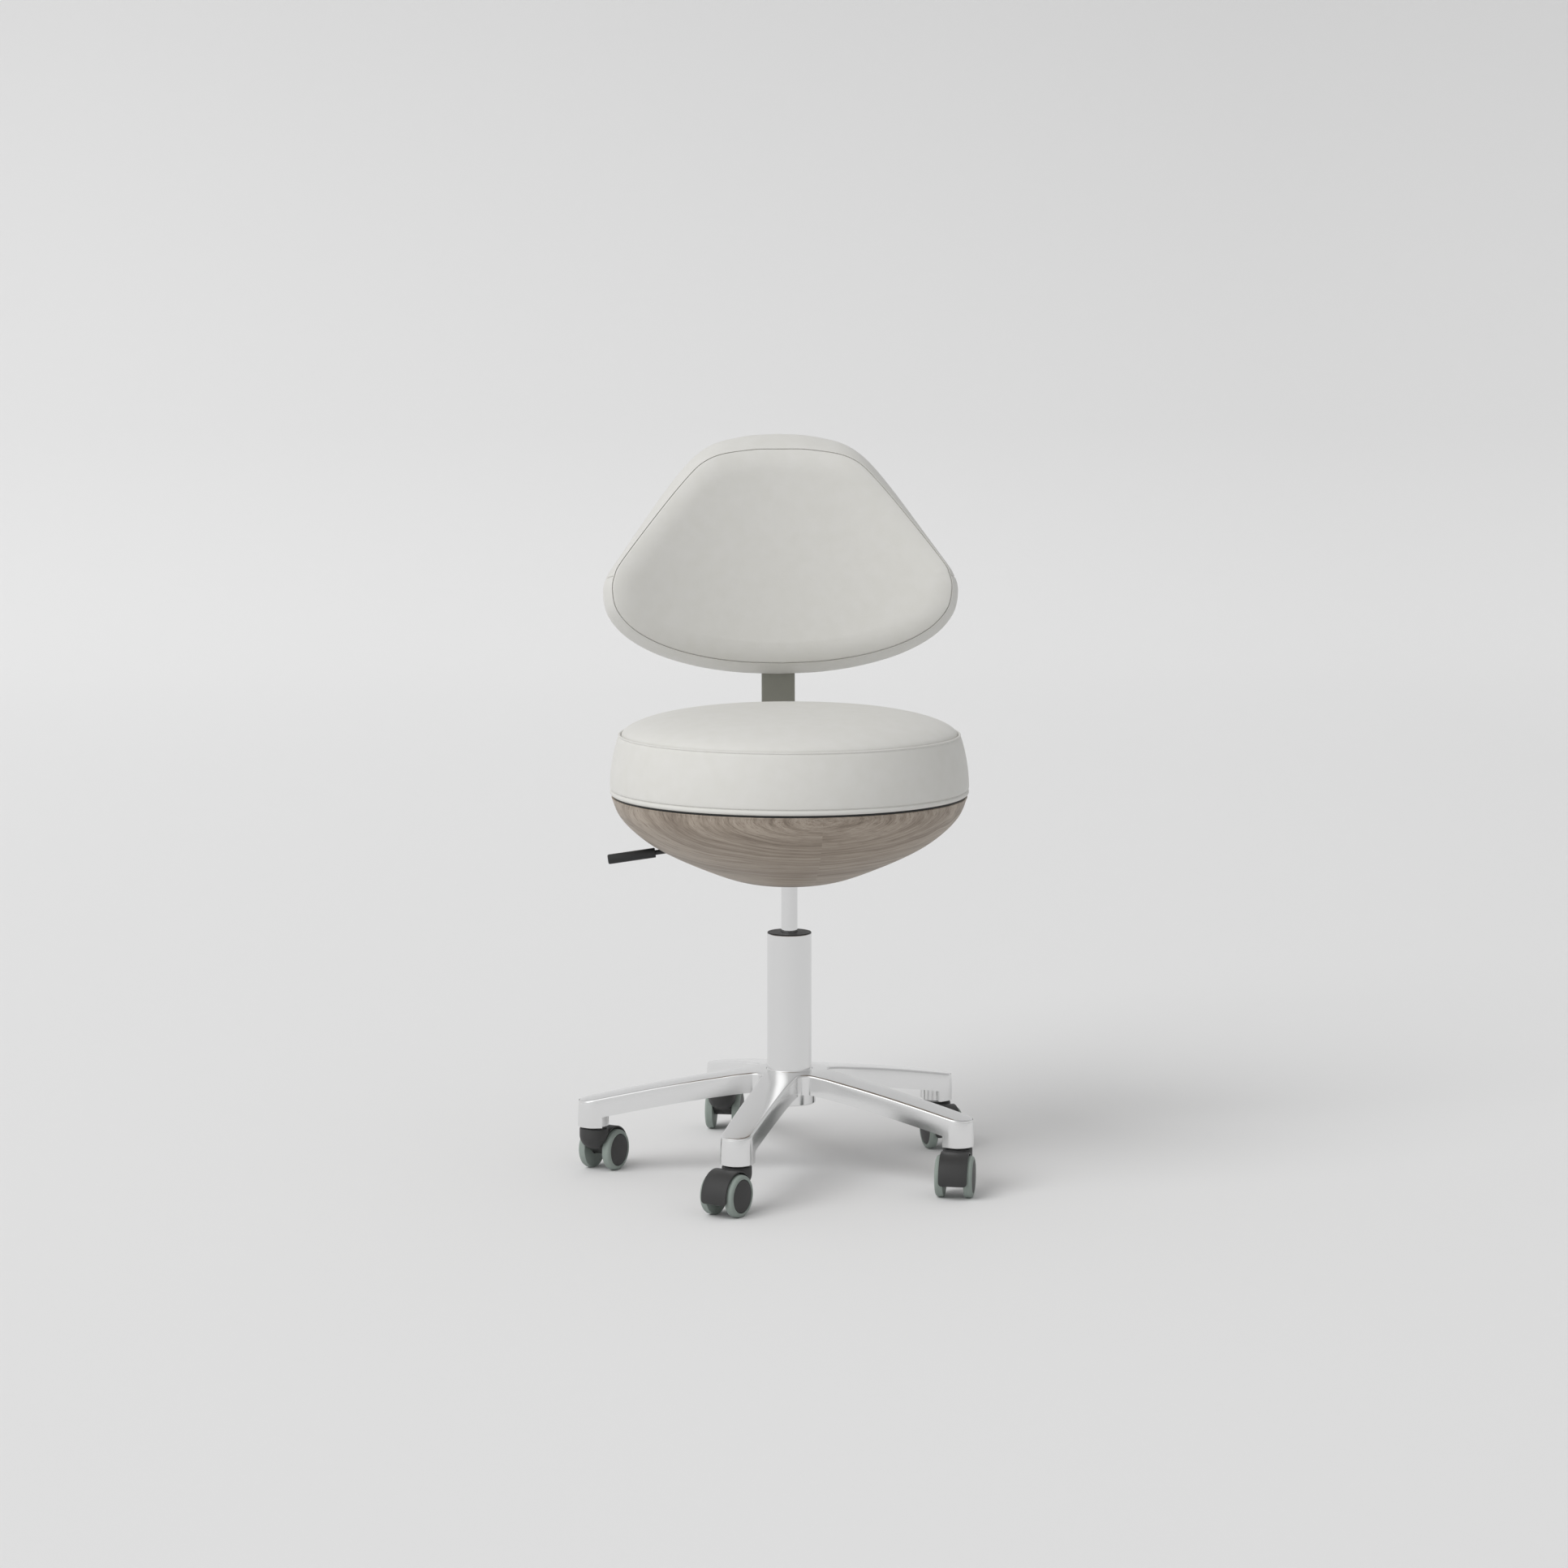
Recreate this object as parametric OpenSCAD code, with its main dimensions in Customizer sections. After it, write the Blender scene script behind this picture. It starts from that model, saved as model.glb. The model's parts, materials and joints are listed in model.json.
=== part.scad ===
// Salon stool with a round upholstered seat, a wood grain bowl under it, a
// contoured backrest on a steel bar, a stepless height lift and a die cast five
// arm base on twin wheel casters.
// Millimetres. Z is up and Z = 0 is the floor. The column stands on the Z axis
// and the sitter faces the -Y side.

/* [Casters] */
// Diameter of a caster wheel over its tyre
wheel_d = 46; // [44:1:56]
// Thickness of one wheel
wheel_t = 9.6; // [9:0.1:14]
// Free width between the two wheels of a caster
wheel_gap = 22.2; // [20:0.1:25]
// Horizontal distance from the caster stem to the wheel axle
trail = 20.8; // [19:0.2:24]
// Height of the arm sockets above the top of the wheels
caster_head = 7; // [6:0.5:10]
// Width of the caster hood
hood_w = 31.2; // [30:0.2:38]
// Wall of the caster hood
hood_wall = 2; // [1.4:0.1:2.2]
// Height of the lower edge of the hood above the floor
hood_low = 16.2; // [14:0.1:20]
// Radius of the round boss that holds the caster stem
boss_r = 16.3; // [15:0.1:17]
// Diameter of the caster stem
stem_d = 11; // [10:0.5:12]
// Diameter of the wheel axle
axle_d = 6; // [5:0.5:7]

/* [Base] */
// Radius of the circle through the caster stems
arm_r = 220; // [205:1:250]
// Radius of the rounded end of each arm
tip_r = 18; // [17:0.5:20]
// Angle by which each side of an arm widens towards the hub
arm_taper = 0.8; // [0.4:0.1:1.4]
// Height of the side walls of an arm
arm_depth = 22.5; // [20:0.5:26]
// Fall of the top of an arm from the hub to the caster stem
arm_drop = 29.6; // [26:0.1:32]
// Wall of the casting
arm_wall = 4; // [3:0.5:5]
// Height of the hub top above the caster sockets
hub_rise = 62.8; // [60:0.2:72]
// Depth of the hub
hub_h = 38; // [35:0.5:42]
// Radius of the inside corner between two arms
notch_r = 12; // [9:0.5:14]

/* [Column and lift] */
// Diameter of the column tube
column_d = 50; // [48:0.5:54]
// Wall of the column tube
column_wall = 1.5; // [1.2:0.1:2.5]
// Height of the column tube above the hub, under its cap
column_h = 154.3; // [145:0.1:190]
// Diameter of the sliding pressure tube
lift_d = 18.4; // [17:0.2:20]
// Diameter of the piston rod
rod_d = 8; // [7:0.5:9]
// Height of the bowl above the cap of the column
lift_gap = 54.2; // [50:0.2:80]
// Travel of the seat below the height shown
lift_down = 45; // [30:1:48]
// Travel of the seat above the height shown
lift_up = 80; // [50:1:84]

/* [Seat] */
// Largest diameter of the seat cushion
seat_d = 400.6; // [380:0.2:420]
// Height of the side of the seat cushion up to its top seam
seat_side_h = 66.6; // [60:0.2:76]
// Inward lean of the cushion side at its top seam
seat_lean = 9.4; // [6:0.2:12]
// Height of the crown above the top seam
crown_h = 31; // [26:0.1:40]
// Diameter of the welt round the bottom of the cushion
welt_d = 6; // [5:0.5:7]
// Thickness of the plywood seat board
board_t = 12; // [10:0.5:15]
// Distance of the rim of the bowl inside the side of the cushion
bowl_inset = 1.8; // [1:0.1:6]
// Depth of the bowl
bowl_h = 100; // [96:0.5:112]
// Wall of the bowl
bowl_wall = 4; // [3:0.5:5]

/* [Lever] */
// Reach of the end of the grip past the rim of the bowl
lever_past = 4.4; // [0:0.2:20]
// Downward slope of the lever at rest
lever_droop = 7.9; // [6:0.1:9]
// Lift of the lever that opens the valve
lever_lift = 5.7; // [4:0.1:6]
// Length of the lever grip
grip_len = 53.5; // [45:0.5:60]
// Diameter of the lever grip
grip_d = 11; // [9:0.5:13]
// Diameter of the lever rod
lever_d = 5.5; // [5:0.5:6.5]

/* [Backrest] */
// Width of the backrest over its curve
back_w = 409; // [380:1:430]
// Height of the backrest
back_h = 278.7; // [260:0.1:300]
// Height of the bottom of the backrest above the seat board
back_rise = 114.3; // [105:0.1:140]
// Thickness of the back pad from its board to its front seam
pad_t = 40; // [34:0.5:50]
// Bulge of the front panel ahead of its seam
pad_bulge = 9; // [6:0.5:12]
// Radius of the horizontal curve of the backrest
back_bend_r = 480; // [420:5:700]
// Backward lean of the backrest
back_tilt = 2.5; // [0:0.5:4]
// Width of the flat steel bar that carries the backrest
bar_w = 38.5; // [34:0.5:44]
// Thickness of the flat steel bar
bar_t = 8; // [6:0.5:9]

/* [Hidden] */
$fn = 96;
arm_count = 5;
// Turn of the first arm and of each caster about Z, in degrees, as they stand
base_turn = 179.6;
caster_turns = [-32.9, -215.2, -192.9, -167.3, -11.0];
// Steps on curves that are drawn with points
curve_steps = 12;
spline_steps = 4;
fine_steps = 6;

// Clearances: press fits are drawn this much apart, running fits likewise, flat
// and soft pieces by the wider gaps
press_gap = 0.05;
run_gap = 0.05;
seat_gap = 0.3;
wheel_side_gap = 0.5;
hood_gap = 1.8;
overrun = 2;
half = 0.5;

// Heights
wheel_r = wheel_d / 2;
socket_z = wheel_d + caster_head;
hub_top_z = socket_z + hub_rise;
hub_low_z = hub_top_z - hub_h;
column_top_z = hub_top_z + column_h;
cap_t = 1.2;
cap_top_z = column_top_z + cap_t;
bowl_low_z = cap_top_z + lift_gap;
bowl_top_z = bowl_low_z + bowl_h;
ring_t = 2;
board_z = bowl_top_z + ring_t;
cushion_z = board_z + seat_gap;
seam_z = cushion_z + seat_side_h;
back_z = board_z + back_rise;

// Caster
stem_r = stem_d / 2;
stem_up = 22;
stem_down = 20;
flange_r = 11.4;
flange_t = 2;
socket_extra = 2;
axle_r = axle_d / 2;
axle_boss_r = 6.5;
core_rim_r_share = 0.79;
core_hub_r = 7;
core_wall = 2.2;
core_recess = 0.3;
tyre_shoulder = 3.6;
tyre_inner_round = 0.8;
axle_bite = 7.5;
hood_corner = 4;
hood_r = wheel_r + hood_gap + hood_wall;
housing_top_z = socket_z - flange_t - seat_gap;
hood_start = 2;
boss_low_share = 0.4925;
boss_low_z = boss_low_share * socket_z;
web_w = wheel_gap - 2 * wheel_side_gap;

// Base casting
gap_angle = 180 / arm_count;
arm_line = tip_r - press_gap + arm_r * sin(arm_taper);
hub_flat_r = 35;
drop_power = 1.27;
skirt_in = 9;
hub_collar_wall = 4.5;
hub_groove_w = 1.2;
hub_groove_h = 1.5;
inner_socket_r = 16.8;
socket_rib_w = 2;
socket_rib_count = 5;
socket_rib_step = 24;
rib_w = 2.5;
rib_shares = [0.35, 0.6, 0.85];
pocket_start_r = 46;

// Column and lift
column_r = column_d / 2;
bore_r = column_r - column_wall;
column_step = 1.5;
column_seat_r = column_r - column_step;
seat_bore_r = bore_r - column_step;
cap_inset = 0.4;
lift_r = lift_d / 2;
rod_r = rod_d / 2;
foot_lift = 5;
foot_t = 4;
foot_z = hub_low_z + foot_lift;
clip_t = 1.5;
clip_w = 3.5;
clip_groove = 0.8;
rod_tail = 4;
race_t = 1.5;
race_r = 11;
ball_d = 3;
ball_gap = 0.1;
ball_ring_r = 7.6;
ball_count = 9;
cage_t = 1;
cage_w = 4;
bump_h = 8;
bump_r = 9;
race_low_z = foot_z + foot_t;
race_up_z = race_low_z + race_t + ball_d + 2 * ball_gap;
bump_z = race_up_z + race_t;
bump_play = 1;
lift_low_z = bump_z + bump_h + lift_down + bump_play;
lift_wall = 1.5;
guide_h = 12;
piston_h = 12;
bush_h = 55;
bush_web = 8;
bush_sleeve = 4;
valve_bore = 15;
piston_z = lift_low_z + lift_up + guide_h + seat_gap;
rod_top_z = piston_z + piston_h;
cavity_top_z = rod_top_z + lift_down + foot_lift;

// Lever, valve pin and mechanism
seat_r = seat_d / 2;
bowl_r = seat_r - bowl_inset;
pivot_x = -28;
lever_reach = (bowl_r + lever_past + pivot_x) / cos(lever_droop);
pivot_drop = 48.5;
pivot_z = board_z - pivot_drop;
pivot_r = 2.5;
pivot_boss_r = 7;
finger_h = 5;
finger_w = 8;
finger_past = 5;
pin_r = 3;
valve_top_z = pivot_z;
valve_stand = 5;
lift_top_z = valve_top_z - valve_stand;
taper_h = 34;
taper_in = 0.6;
socket_r = 15;
socket_inset = 2;
plate_t = 3;
plate_l = 160;
plate_w = 140;
plate_round = 12;
mech_web_t = 3;
mech_web_y = 16;
mech_web_top = 110;
mech_web_low = 70;
screw_r = 4;
screw_head_r = 7;
screw_head_h = 4;
screw_bite = 9;
plate_screw_x_share = 0.4;
plate_screw_y_share = 0.38;

// Seat
welt_r = welt_d / 2;
board_inset = 15.3;
board_r = seat_r - board_inset;
bowl_hole_gap = 0.3;
bowl_flange_w = 30;
bowl_flange_t = 5;
trim_inset = 2.2;
trim_w = 36;
bowl_screw_inset = 22;
bowl_screw_r = bowl_r - bowl_screw_inset;
bowl_screw_d = 4.5;
bowl_screw_head = 9;
bowl_screw_count = 6;
screw_end_gap = 1;
bowl_screw_len = board_t + ring_t + bowl_flange_t - screw_end_gap;
lever_slot_gap = 1;
lever_slot_w = grip_d + 2 * lever_slot_gap;
lever_slot_play = 2;
lever_exit_share = 0.7;
seam_groove = 1.2;
crown_power = 3.5;
crown_round = 0.6;
// Half profile of the bowl from its lowest point to its rim, as shares of its
// rim radius and of its depth
bowl_shares = [[0, 0], [0.17, 0.013], [0.343, 0.082], [0.576, 0.264], [0.757, 0.444],
    [0.881, 0.626], [0.961, 0.807], [1, 1]];

// Backrest
bar_plate_gap = 8;
bar_start = plate_w / 2 + bar_plate_gap;
bar_bend = 8;
bar_bend_y = seat_r - welt_r;
bar_above = 175;
bar_screw_shares = [0.17, 0.45, 0.73];
back_board_t = 9;
back_board_share = 0.95;
back_recess_share = 0.955;
back_lip_share = 0.2;
back_centre_share = 0.42;
back_screw_r = 3;
back_screw_head_r = 5.5;
back_screw_head_h = 3;
back_screw_x = 11;
back_screw_low = 70;
back_screw_step = 45;
back_screw_bite = 6;
// Half outlines of the backrest from top to bottom: across as shares of half its
// width, up as shares of its height. The first is the widest line at the back,
// the second is the seam round the front panel.
rear_shares = [[0, 1], [0.2, 0.989], [0.415, 0.94], [0.607, 0.8], [0.906, 0.492],
    [0.982, 0.406], [1, 0.34], [0.972, 0.25], [0.872, 0.163], [0.7, 0.089], [0.48, 0.037],
    [0.24, 0.008], [0, 0]];
seam_shares = [[0, 0.939], [0.18, 0.935], [0.4, 0.9], [0.567, 0.79], [0.882, 0.5],
    [0.942, 0.42], [0.953, 0.355], [0.926, 0.276], [0.831, 0.197], [0.668, 0.13],
    [0.458, 0.083], [0.229, 0.057], [0, 0.0495]];

caster_names = [for (c = [1:arm_count])
    each [str("caster_", c, "_housing"), str("caster_", c, "_axle"),
        str("caster_", c, "_wheel_left"), str("caster_", c, "_wheel_right"),
        str("caster_", c, "_tyre_left"), str("caster_", c, "_tyre_right")]];

// Points of an arc round c from angle a0 to a1
function arc_points(c, r, a0, a1, n) =
    [for (i = [0:n]) let (a = a0 + (a1 - a0) * i / n) c + r * [cos(a), sin(a)]];

// One point of a smooth curve between p1 and p2
function curve_point(p0, p1, p2, p3, t) =
    half * (2 * p1 + (p2 - p0) * t + (2 * p0 - 5 * p1 + 4 * p2 - p3) * t * t
        + (3 * p1 - p0 - 3 * p2 + p3) * t * t * t);

// Smooth open curve through the points p, with n steps between two of them
function spline_points(p, n) = concat(
    [for (i = [0:len(p) - 2]) for (k = [0:n - 1])
        curve_point(p[max(i - 1, 0)], p[i], p[i + 1], p[min(i + 2, len(p) - 1)], k / n)],
    [p[len(p) - 1]]);

// Closed outline from half an outline that runs from top to bottom
function mirrored(p) = concat(p, [for (i = [len(p) - 2:-1:1]) [-p[i][0], p[i][1]]]);

// The points p in the opposite order
function reversed(p) = [for (i = [len(p) - 1:-1:0]) p[i]];

// Height of the top of an arm at distance r from the column
function arm_top(r) = hub_top_z - arm_drop
    * pow(max(min(r, arm_r) - hub_flat_r, 0) / (arm_r - hub_flat_r), drop_power);

// Places a child at each arm
module at_arms() {
    for (k = [0:arm_count - 1])
        rotate(base_turn + 2 * gap_angle * k) children();
}

// Places a child at caster c, turned as the caster trails
module at_caster(c) {
    rotate(base_turn + 2 * gap_angle * c)
        translate([arm_r, 0, 0])
            rotate(-base_turn - 2 * gap_angle * c + caster_turns[c])
                children();
}

// Plan of one arm, drawn in by inset, without its round end
module arm_side_plan(inset, reach) {
    side = (arm_line - inset) / cos(arm_taper);
    end_w = (arm_line - inset - reach * sin(arm_taper)) / cos(arm_taper);
    polygon([[0, side], [reach, end_w], [reach, -end_w], [0, -side]]);
}

// Plan of the base: arms, round ends and the rounded corners between the arms.
// The rounds are press_gap larger than tangent, so they cross the arm sides.
module base_plan() {
    corner = (arm_line + notch_r) / sin(gap_angle + arm_taper);
    centre = corner * [cos(gap_angle), sin(gap_angle)];
    low = centre + notch_r * [-sin(arm_taper), -cos(arm_taper)];
    up_angle = 2 * gap_angle + arm_taper;
    high = centre + notch_r * [-sin(up_angle), cos(up_angle)];
    at_arms() {
        arm_side_plan(0, arm_r + tip_r * sin(arm_taper));
        translate([arm_r, 0]) circle(tip_r);
        difference() {
            polygon([[0, 0], low, centre, high]);
            translate(centre) circle(notch_r + press_gap);
        }
    }
}

// Half section of the casting: curved top, parallel underside and the skirt
// round each socket
module arm_section() {
    end_r = arm_r + 2 * tip_r;
    step = (end_r - hub_flat_r) / curve_steps;
    skirt_r = arm_r - skirt_in;
    under_step = (skirt_r - hub_flat_r) / curve_steps;
    polygon(concat(
        [[0, hub_top_z]],
        [for (i = [0:curve_steps]) let (r = hub_flat_r + i * step) [r, arm_top(r)]],
        [[end_r, socket_z], [skirt_r, socket_z]],
        [for (i = [curve_steps:-1:0])
            let (r = hub_flat_r + i * under_step) [r, arm_top(r) - arm_depth]],
        [[0, hub_top_z - arm_depth]]));
}

// Hollow under one arm, with cross ribs left standing
module arm_pocket() {
    end_r = arm_r - tip_r;
    step = (end_r - pocket_start_r) / curve_steps;
    difference() {
        intersection() {
            rotate_extrude() polygon(concat(
                [for (i = [0:curve_steps])
                    let (r = pocket_start_r + i * step) [r, arm_top(r) - arm_wall]],
                [[end_r, socket_z], [pocket_start_r, socket_z]]));
            translate([0, 0, socket_z]) linear_extrude(hub_rise)
                arm_side_plan(arm_wall, arm_r);
        }
        for (share = rib_shares)
            translate([pocket_start_r + share * (end_r - pocket_start_r), 0, hub_top_z])
                cube([rib_w, 4 * tip_r, 2 * hub_rise], center = true);
    }
}

// Round socket under the arm end, with its upright ribs on the hub side
module arm_socket() {
    socket_h = arm_top(arm_r) - arm_wall * half - socket_z;
    translate([arm_r, 0, socket_z]) {
        cylinder(r = inner_socket_r, h = socket_h);
        for (i = [0:socket_rib_count - 1])
            rotate(180 + (i - (socket_rib_count - 1) / 2) * socket_rib_step)
                translate([inner_socket_r - socket_rib_w, -socket_rib_w / 2, 0])
                    cube([socket_rib_w + tip_r - inner_socket_r, socket_rib_w,
                        arm_top(arm_r - tip_r) - arm_depth + socket_rib_w - socket_z]);
    }
}

module star_base() {
    collar_r = column_r + hub_collar_wall;
    color("silver") difference() {
        union() {
            intersection() {
                rotate_extrude() arm_section();
                translate([0, 0, socket_z - overrun])
                    linear_extrude(hub_rise + 2 * overrun) base_plan();
            }
            translate([0, 0, hub_low_z]) cylinder(r = collar_r, h = hub_h - arm_wall);
            at_arms() arm_socket();
        }
        at_arms() difference() {
            arm_pocket();
            arm_socket();
        }
        translate([0, 0, hub_low_z - overrun])
            cylinder(r = column_seat_r + press_gap, h = hub_h + 2 * overrun);
        translate([0, 0, hub_top_z - hub_groove_h])
            cylinder(r = column_r + hub_groove_w, h = hub_groove_h + overrun);
        at_arms() translate([arm_r, 0, socket_z - overrun])
            cylinder(r = stem_r + press_gap, h = stem_up + socket_extra + overrun);
    }
}

// Steel stems: a flange against each socket, the shank above it in the socket
// and the pivot below it in the caster
module caster_stems() {
    chamfer = stem_r / 4;
    color("dimgray") at_arms() translate([arm_r, 0, socket_z]) rotate_extrude() polygon([
        [0, -flange_t - stem_down], [stem_r - chamfer, -flange_t - stem_down],
        [stem_r, -flange_t - stem_down + chamfer], [stem_r, -flange_t],
        [flange_r, -flange_t], [flange_r, 0], [stem_r, 0], [stem_r, stem_up - chamfer],
        [stem_r - chamfer, stem_up], [0, stem_up]]);
}

// Round block of radius r and length l across the caster at its axle
module axle_block(r, l) {
    translate([0, trail, wheel_r]) rotate([0, 90, 0])
        cylinder(r = r, h = l, center = true);
}

// Hood outline seen from behind the caster, with rounded lower corners
module hood_outline() {
    top = housing_top_z + hood_r;
    side = hood_w / 2;
    translate([-side, hood_low + hood_corner]) square([hood_w, top - hood_low]);
    translate([hood_corner - side, hood_low])
        square([hood_w - 2 * hood_corner, top - hood_low]);
    for (s = [-1, 1])
        translate([s * (side - hood_corner), hood_low + hood_corner]) circle(hood_corner);
}

module housing_shape() {
    ball_z = boss_low_z + boss_r;
    difference() {
        union() {
            intersection() {
                difference() {
                    axle_block(hood_r, hood_w);
                    axle_block(wheel_r + hood_gap, hood_w + 2 * overrun);
                }
                translate([0, trail + 2 * hood_r, 0]) rotate([90, 0, 0])
                    linear_extrude(trail + 2 * hood_r + hood_start) hood_outline();
            }
            rotate_extrude() polygon(concat(
                arc_points([0, ball_z], boss_r, -90, 0, curve_steps),
                [[boss_r, housing_top_z - hood_wall], [boss_r - hood_wall, housing_top_z],
                    [0, housing_top_z]]));
            axle_block(axle_boss_r, web_w);
            translate([-web_w / 2, 0, 0]) rotate([90, 0, 90]) linear_extrude(web_w)
                polygon([[0, boss_low_z + run_gap], [trail, wheel_r - axle_boss_r],
                    [trail + axle_boss_r, wheel_r],
                    [trail, wheel_r + hood_r - hood_wall * half],
                    [0, housing_top_z - hood_wall]]);
        }
        for (s = [-1, 1])
            translate([s * (web_w + wheel_t + overrun) / 2, 0, 0])
                axle_block(wheel_r + hood_gap, wheel_t + overrun);
        translate([0, 0, housing_top_z - stem_down - seat_gap])
            cylinder(r = stem_r + run_gap, h = stem_down + seat_gap + overrun);
        axle_block(axle_r + press_gap, web_w + 2 * overrun);
    }
}

// Half section of a wheel body. Its first coordinate is the radius, its second
// runs outwards from the inner face of the wheel.
module wheel_section() {
    rim_r = wheel_r * core_rim_r_share;
    face = wheel_t - core_recess;
    dome = core_recess;
    polygon([[axle_r + run_gap, 0], [core_hub_r, 0], [core_hub_r, face - core_wall],
        [rim_r - core_wall, face - core_wall], [rim_r - core_wall, core_recess],
        [rim_r, core_recess], [rim_r, face - dome], [rim_r - dome, face],
        [rim_r / 2, face + dome], [0, face + dome], [0, axle_bite + seat_gap],
        [axle_r + run_gap, axle_bite + seat_gap]]);
}

// Half section of a tyre, with a wide round outer shoulder
module tyre_section() {
    in_r = wheel_r * core_rim_r_share + press_gap;
    polygon(concat(
        [[in_r, core_recess]],
        arc_points([wheel_r - tyre_inner_round, core_recess + tyre_inner_round],
            tyre_inner_round, -90, 0, curve_steps / 2),
        arc_points([wheel_r - tyre_shoulder, wheel_t - tyre_shoulder],
            tyre_shoulder, 0, 90, curve_steps),
        [[in_r, wheel_t]]));
}

// Turns a half section about the axle, on the side s of the caster
module wheel_turned(s) {
    translate([s * wheel_gap / 2, trail, wheel_r]) rotate([0, s * 90, 0])
        rotate_extrude() children();
}

module caster_housing(c) {
    color("#3a3a3a") at_caster(c) housing_shape();
}

module caster_axle(c) {
    color("gray") at_caster(c) axle_block(axle_r, wheel_gap + 2 * axle_bite);
}

module caster_wheel(c, s) {
    color("#333333") at_caster(c) wheel_turned(s) wheel_section();
}

module caster_tyre(c, s) {
    color("#82918a") at_caster(c) wheel_turned(s) tyre_section();
}

// Column tube, with its lower end drawn in where it stands in the hub
module column_tube() {
    color("gainsboro") rotate_extrude() polygon([
        [seat_bore_r, foot_z], [column_seat_r, foot_z], [column_seat_r, hub_top_z],
        [column_r, hub_top_z], [column_r, column_top_z], [bore_r, column_top_z],
        [bore_r, hub_top_z + column_wall], [seat_bore_r, hub_top_z + column_wall]]);
}

// Plastic guide in the mouth of the column, with the black cap on top
module column_bush() {
    out_r = bore_r - press_gap;
    cap_r = column_r - cap_inset;
    in_r = lift_r + run_gap;
    sleeve_r = in_r + bush_sleeve;
    low_z = column_top_z - bush_h;
    color("#262626") rotate_extrude() polygon([
        [in_r, low_z], [out_r, low_z], [out_r, low_z + bush_web],
        [sleeve_r, low_z + bush_web], [sleeve_r, column_top_z - bush_web],
        [out_r, column_top_z - bush_web], [out_r, column_top_z],
        [cap_r, column_top_z], [cap_r, cap_top_z], [in_r, cap_top_z]]);
}

module ring(in_r, out_r, low_z, h) {
    translate([0, 0, low_z]) difference() {
        cylinder(r = out_r, h = h);
        translate([0, 0, -overrun]) cylinder(r = in_r, h = h + 2 * overrun);
    }
}

module column_foot() {
    color("gray") ring(rod_r + run_gap, seat_bore_r - press_gap, foot_z, foot_t);
}

module bearing_race_lower() {
    color("lightgray") ring(rod_r + run_gap, race_r, race_low_z, race_t);
}

module bearing_balls() {
    mid_z = race_low_z + race_t + ball_gap + ball_d / 2;
    color("lightgray") union() {
        ring(ball_ring_r - cage_w / 2, ball_ring_r + cage_w / 2, mid_z - cage_t / 2, cage_t);
        for (k = [0:ball_count - 1])
            rotate(360 * k / ball_count) translate([ball_ring_r, 0, mid_z])
                sphere(d = ball_d);
    }
}

module bearing_race_upper() {
    color("lightgray") ring(rod_r + press_gap, race_r, race_up_z, race_t);
}

module bump_ring() {
    color("#222222") ring(rod_r + press_gap, bump_r, bump_z, bump_h);
}

module piston_rod() {
    groove_z = foot_z - seat_gap - clip_t;
    color("silver") difference() {
        translate([0, 0, foot_z - rod_tail]) cylinder(r = rod_r, h = rod_top_z - foot_z + rod_tail);
        ring(rod_r - clip_groove, rod_r + overrun, groove_z, clip_t);
        ring(rod_r - clip_groove, rod_r + overrun, piston_z, piston_h + overrun);
    }
}

module piston() {
    color("gray") ring(rod_r - clip_groove + press_gap, lift_r - lift_wall - run_gap,
        piston_z, piston_h);
}

// Open retaining clip under the column foot
module rod_clip() {
    low_z = foot_z - seat_gap - clip_t;
    in_r = rod_r - clip_groove + press_gap;
    color("dimgray") difference() {
        ring(in_r, in_r + clip_w, low_z + press_gap, clip_t - 2 * press_gap);
        translate([0, -in_r * half, low_z - overrun])
            cube([2 * rod_d, in_r, clip_t + 2 * overrun]);
    }
}

module pressure_tube() {
    body_h = lift_top_z - taper_h - lift_low_z;
    color("whitesmoke") difference() {
        union() {
            translate([0, 0, lift_low_z]) cylinder(r = lift_r, h = body_h);
            translate([0, 0, lift_top_z - taper_h])
                cylinder(r1 = lift_r, r2 = lift_r - taper_in, h = taper_h);
        }
        translate([0, 0, lift_low_z - overrun])
            cylinder(r = lift_r - lift_wall, h = cavity_top_z - lift_low_z + overrun);
        translate([0, 0, lift_top_z - valve_bore])
            cylinder(r = pin_r + run_gap, h = valve_bore + overrun);
    }
}

module rod_guide() {
    color("#2b2b2b") ring(rod_r + run_gap, lift_r - lift_wall - press_gap, lift_low_z, guide_h);
}

// Valve pin in the top of the pressure tube. It sits clear of the bore's end by
// more than its travel.
module release_pin() {
    stroke = (finger_past - pivot_x) * sin(lever_lift);
    low_z = lift_top_z - valve_bore + stroke + seat_gap;
    color("lightgray") translate([0, 0, low_z])
        cylinder(r = pin_r, h = valve_top_z - low_z);
}

// Rounded plate of size l by w, centred, t thick
module rounded_plate(l, w, t, r) {
    linear_extrude(t) union() {
        square([l - 2 * r, w], center = true);
        square([l, w - 2 * r], center = true);
        for (x = [-1, 1], y = [-1, 1])
            translate([x * (l / 2 - r), y * (w / 2 - r)]) circle(r);
    }
}

// Places a child at each screw of the mechanism plate
module at_plate_screws() {
    for (x = [-1, 1], y = [-1, 1])
        translate([x * plate_l * plate_screw_x_share, y * plate_w * plate_screw_y_share, 0])
            children();
}

// Places a child at each screw of the back bar
module at_bar_screws() {
    for (share = bar_screw_shares)
        translate([0, bar_start + share * (board_r - bar_start), 0]) children();
}

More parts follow.
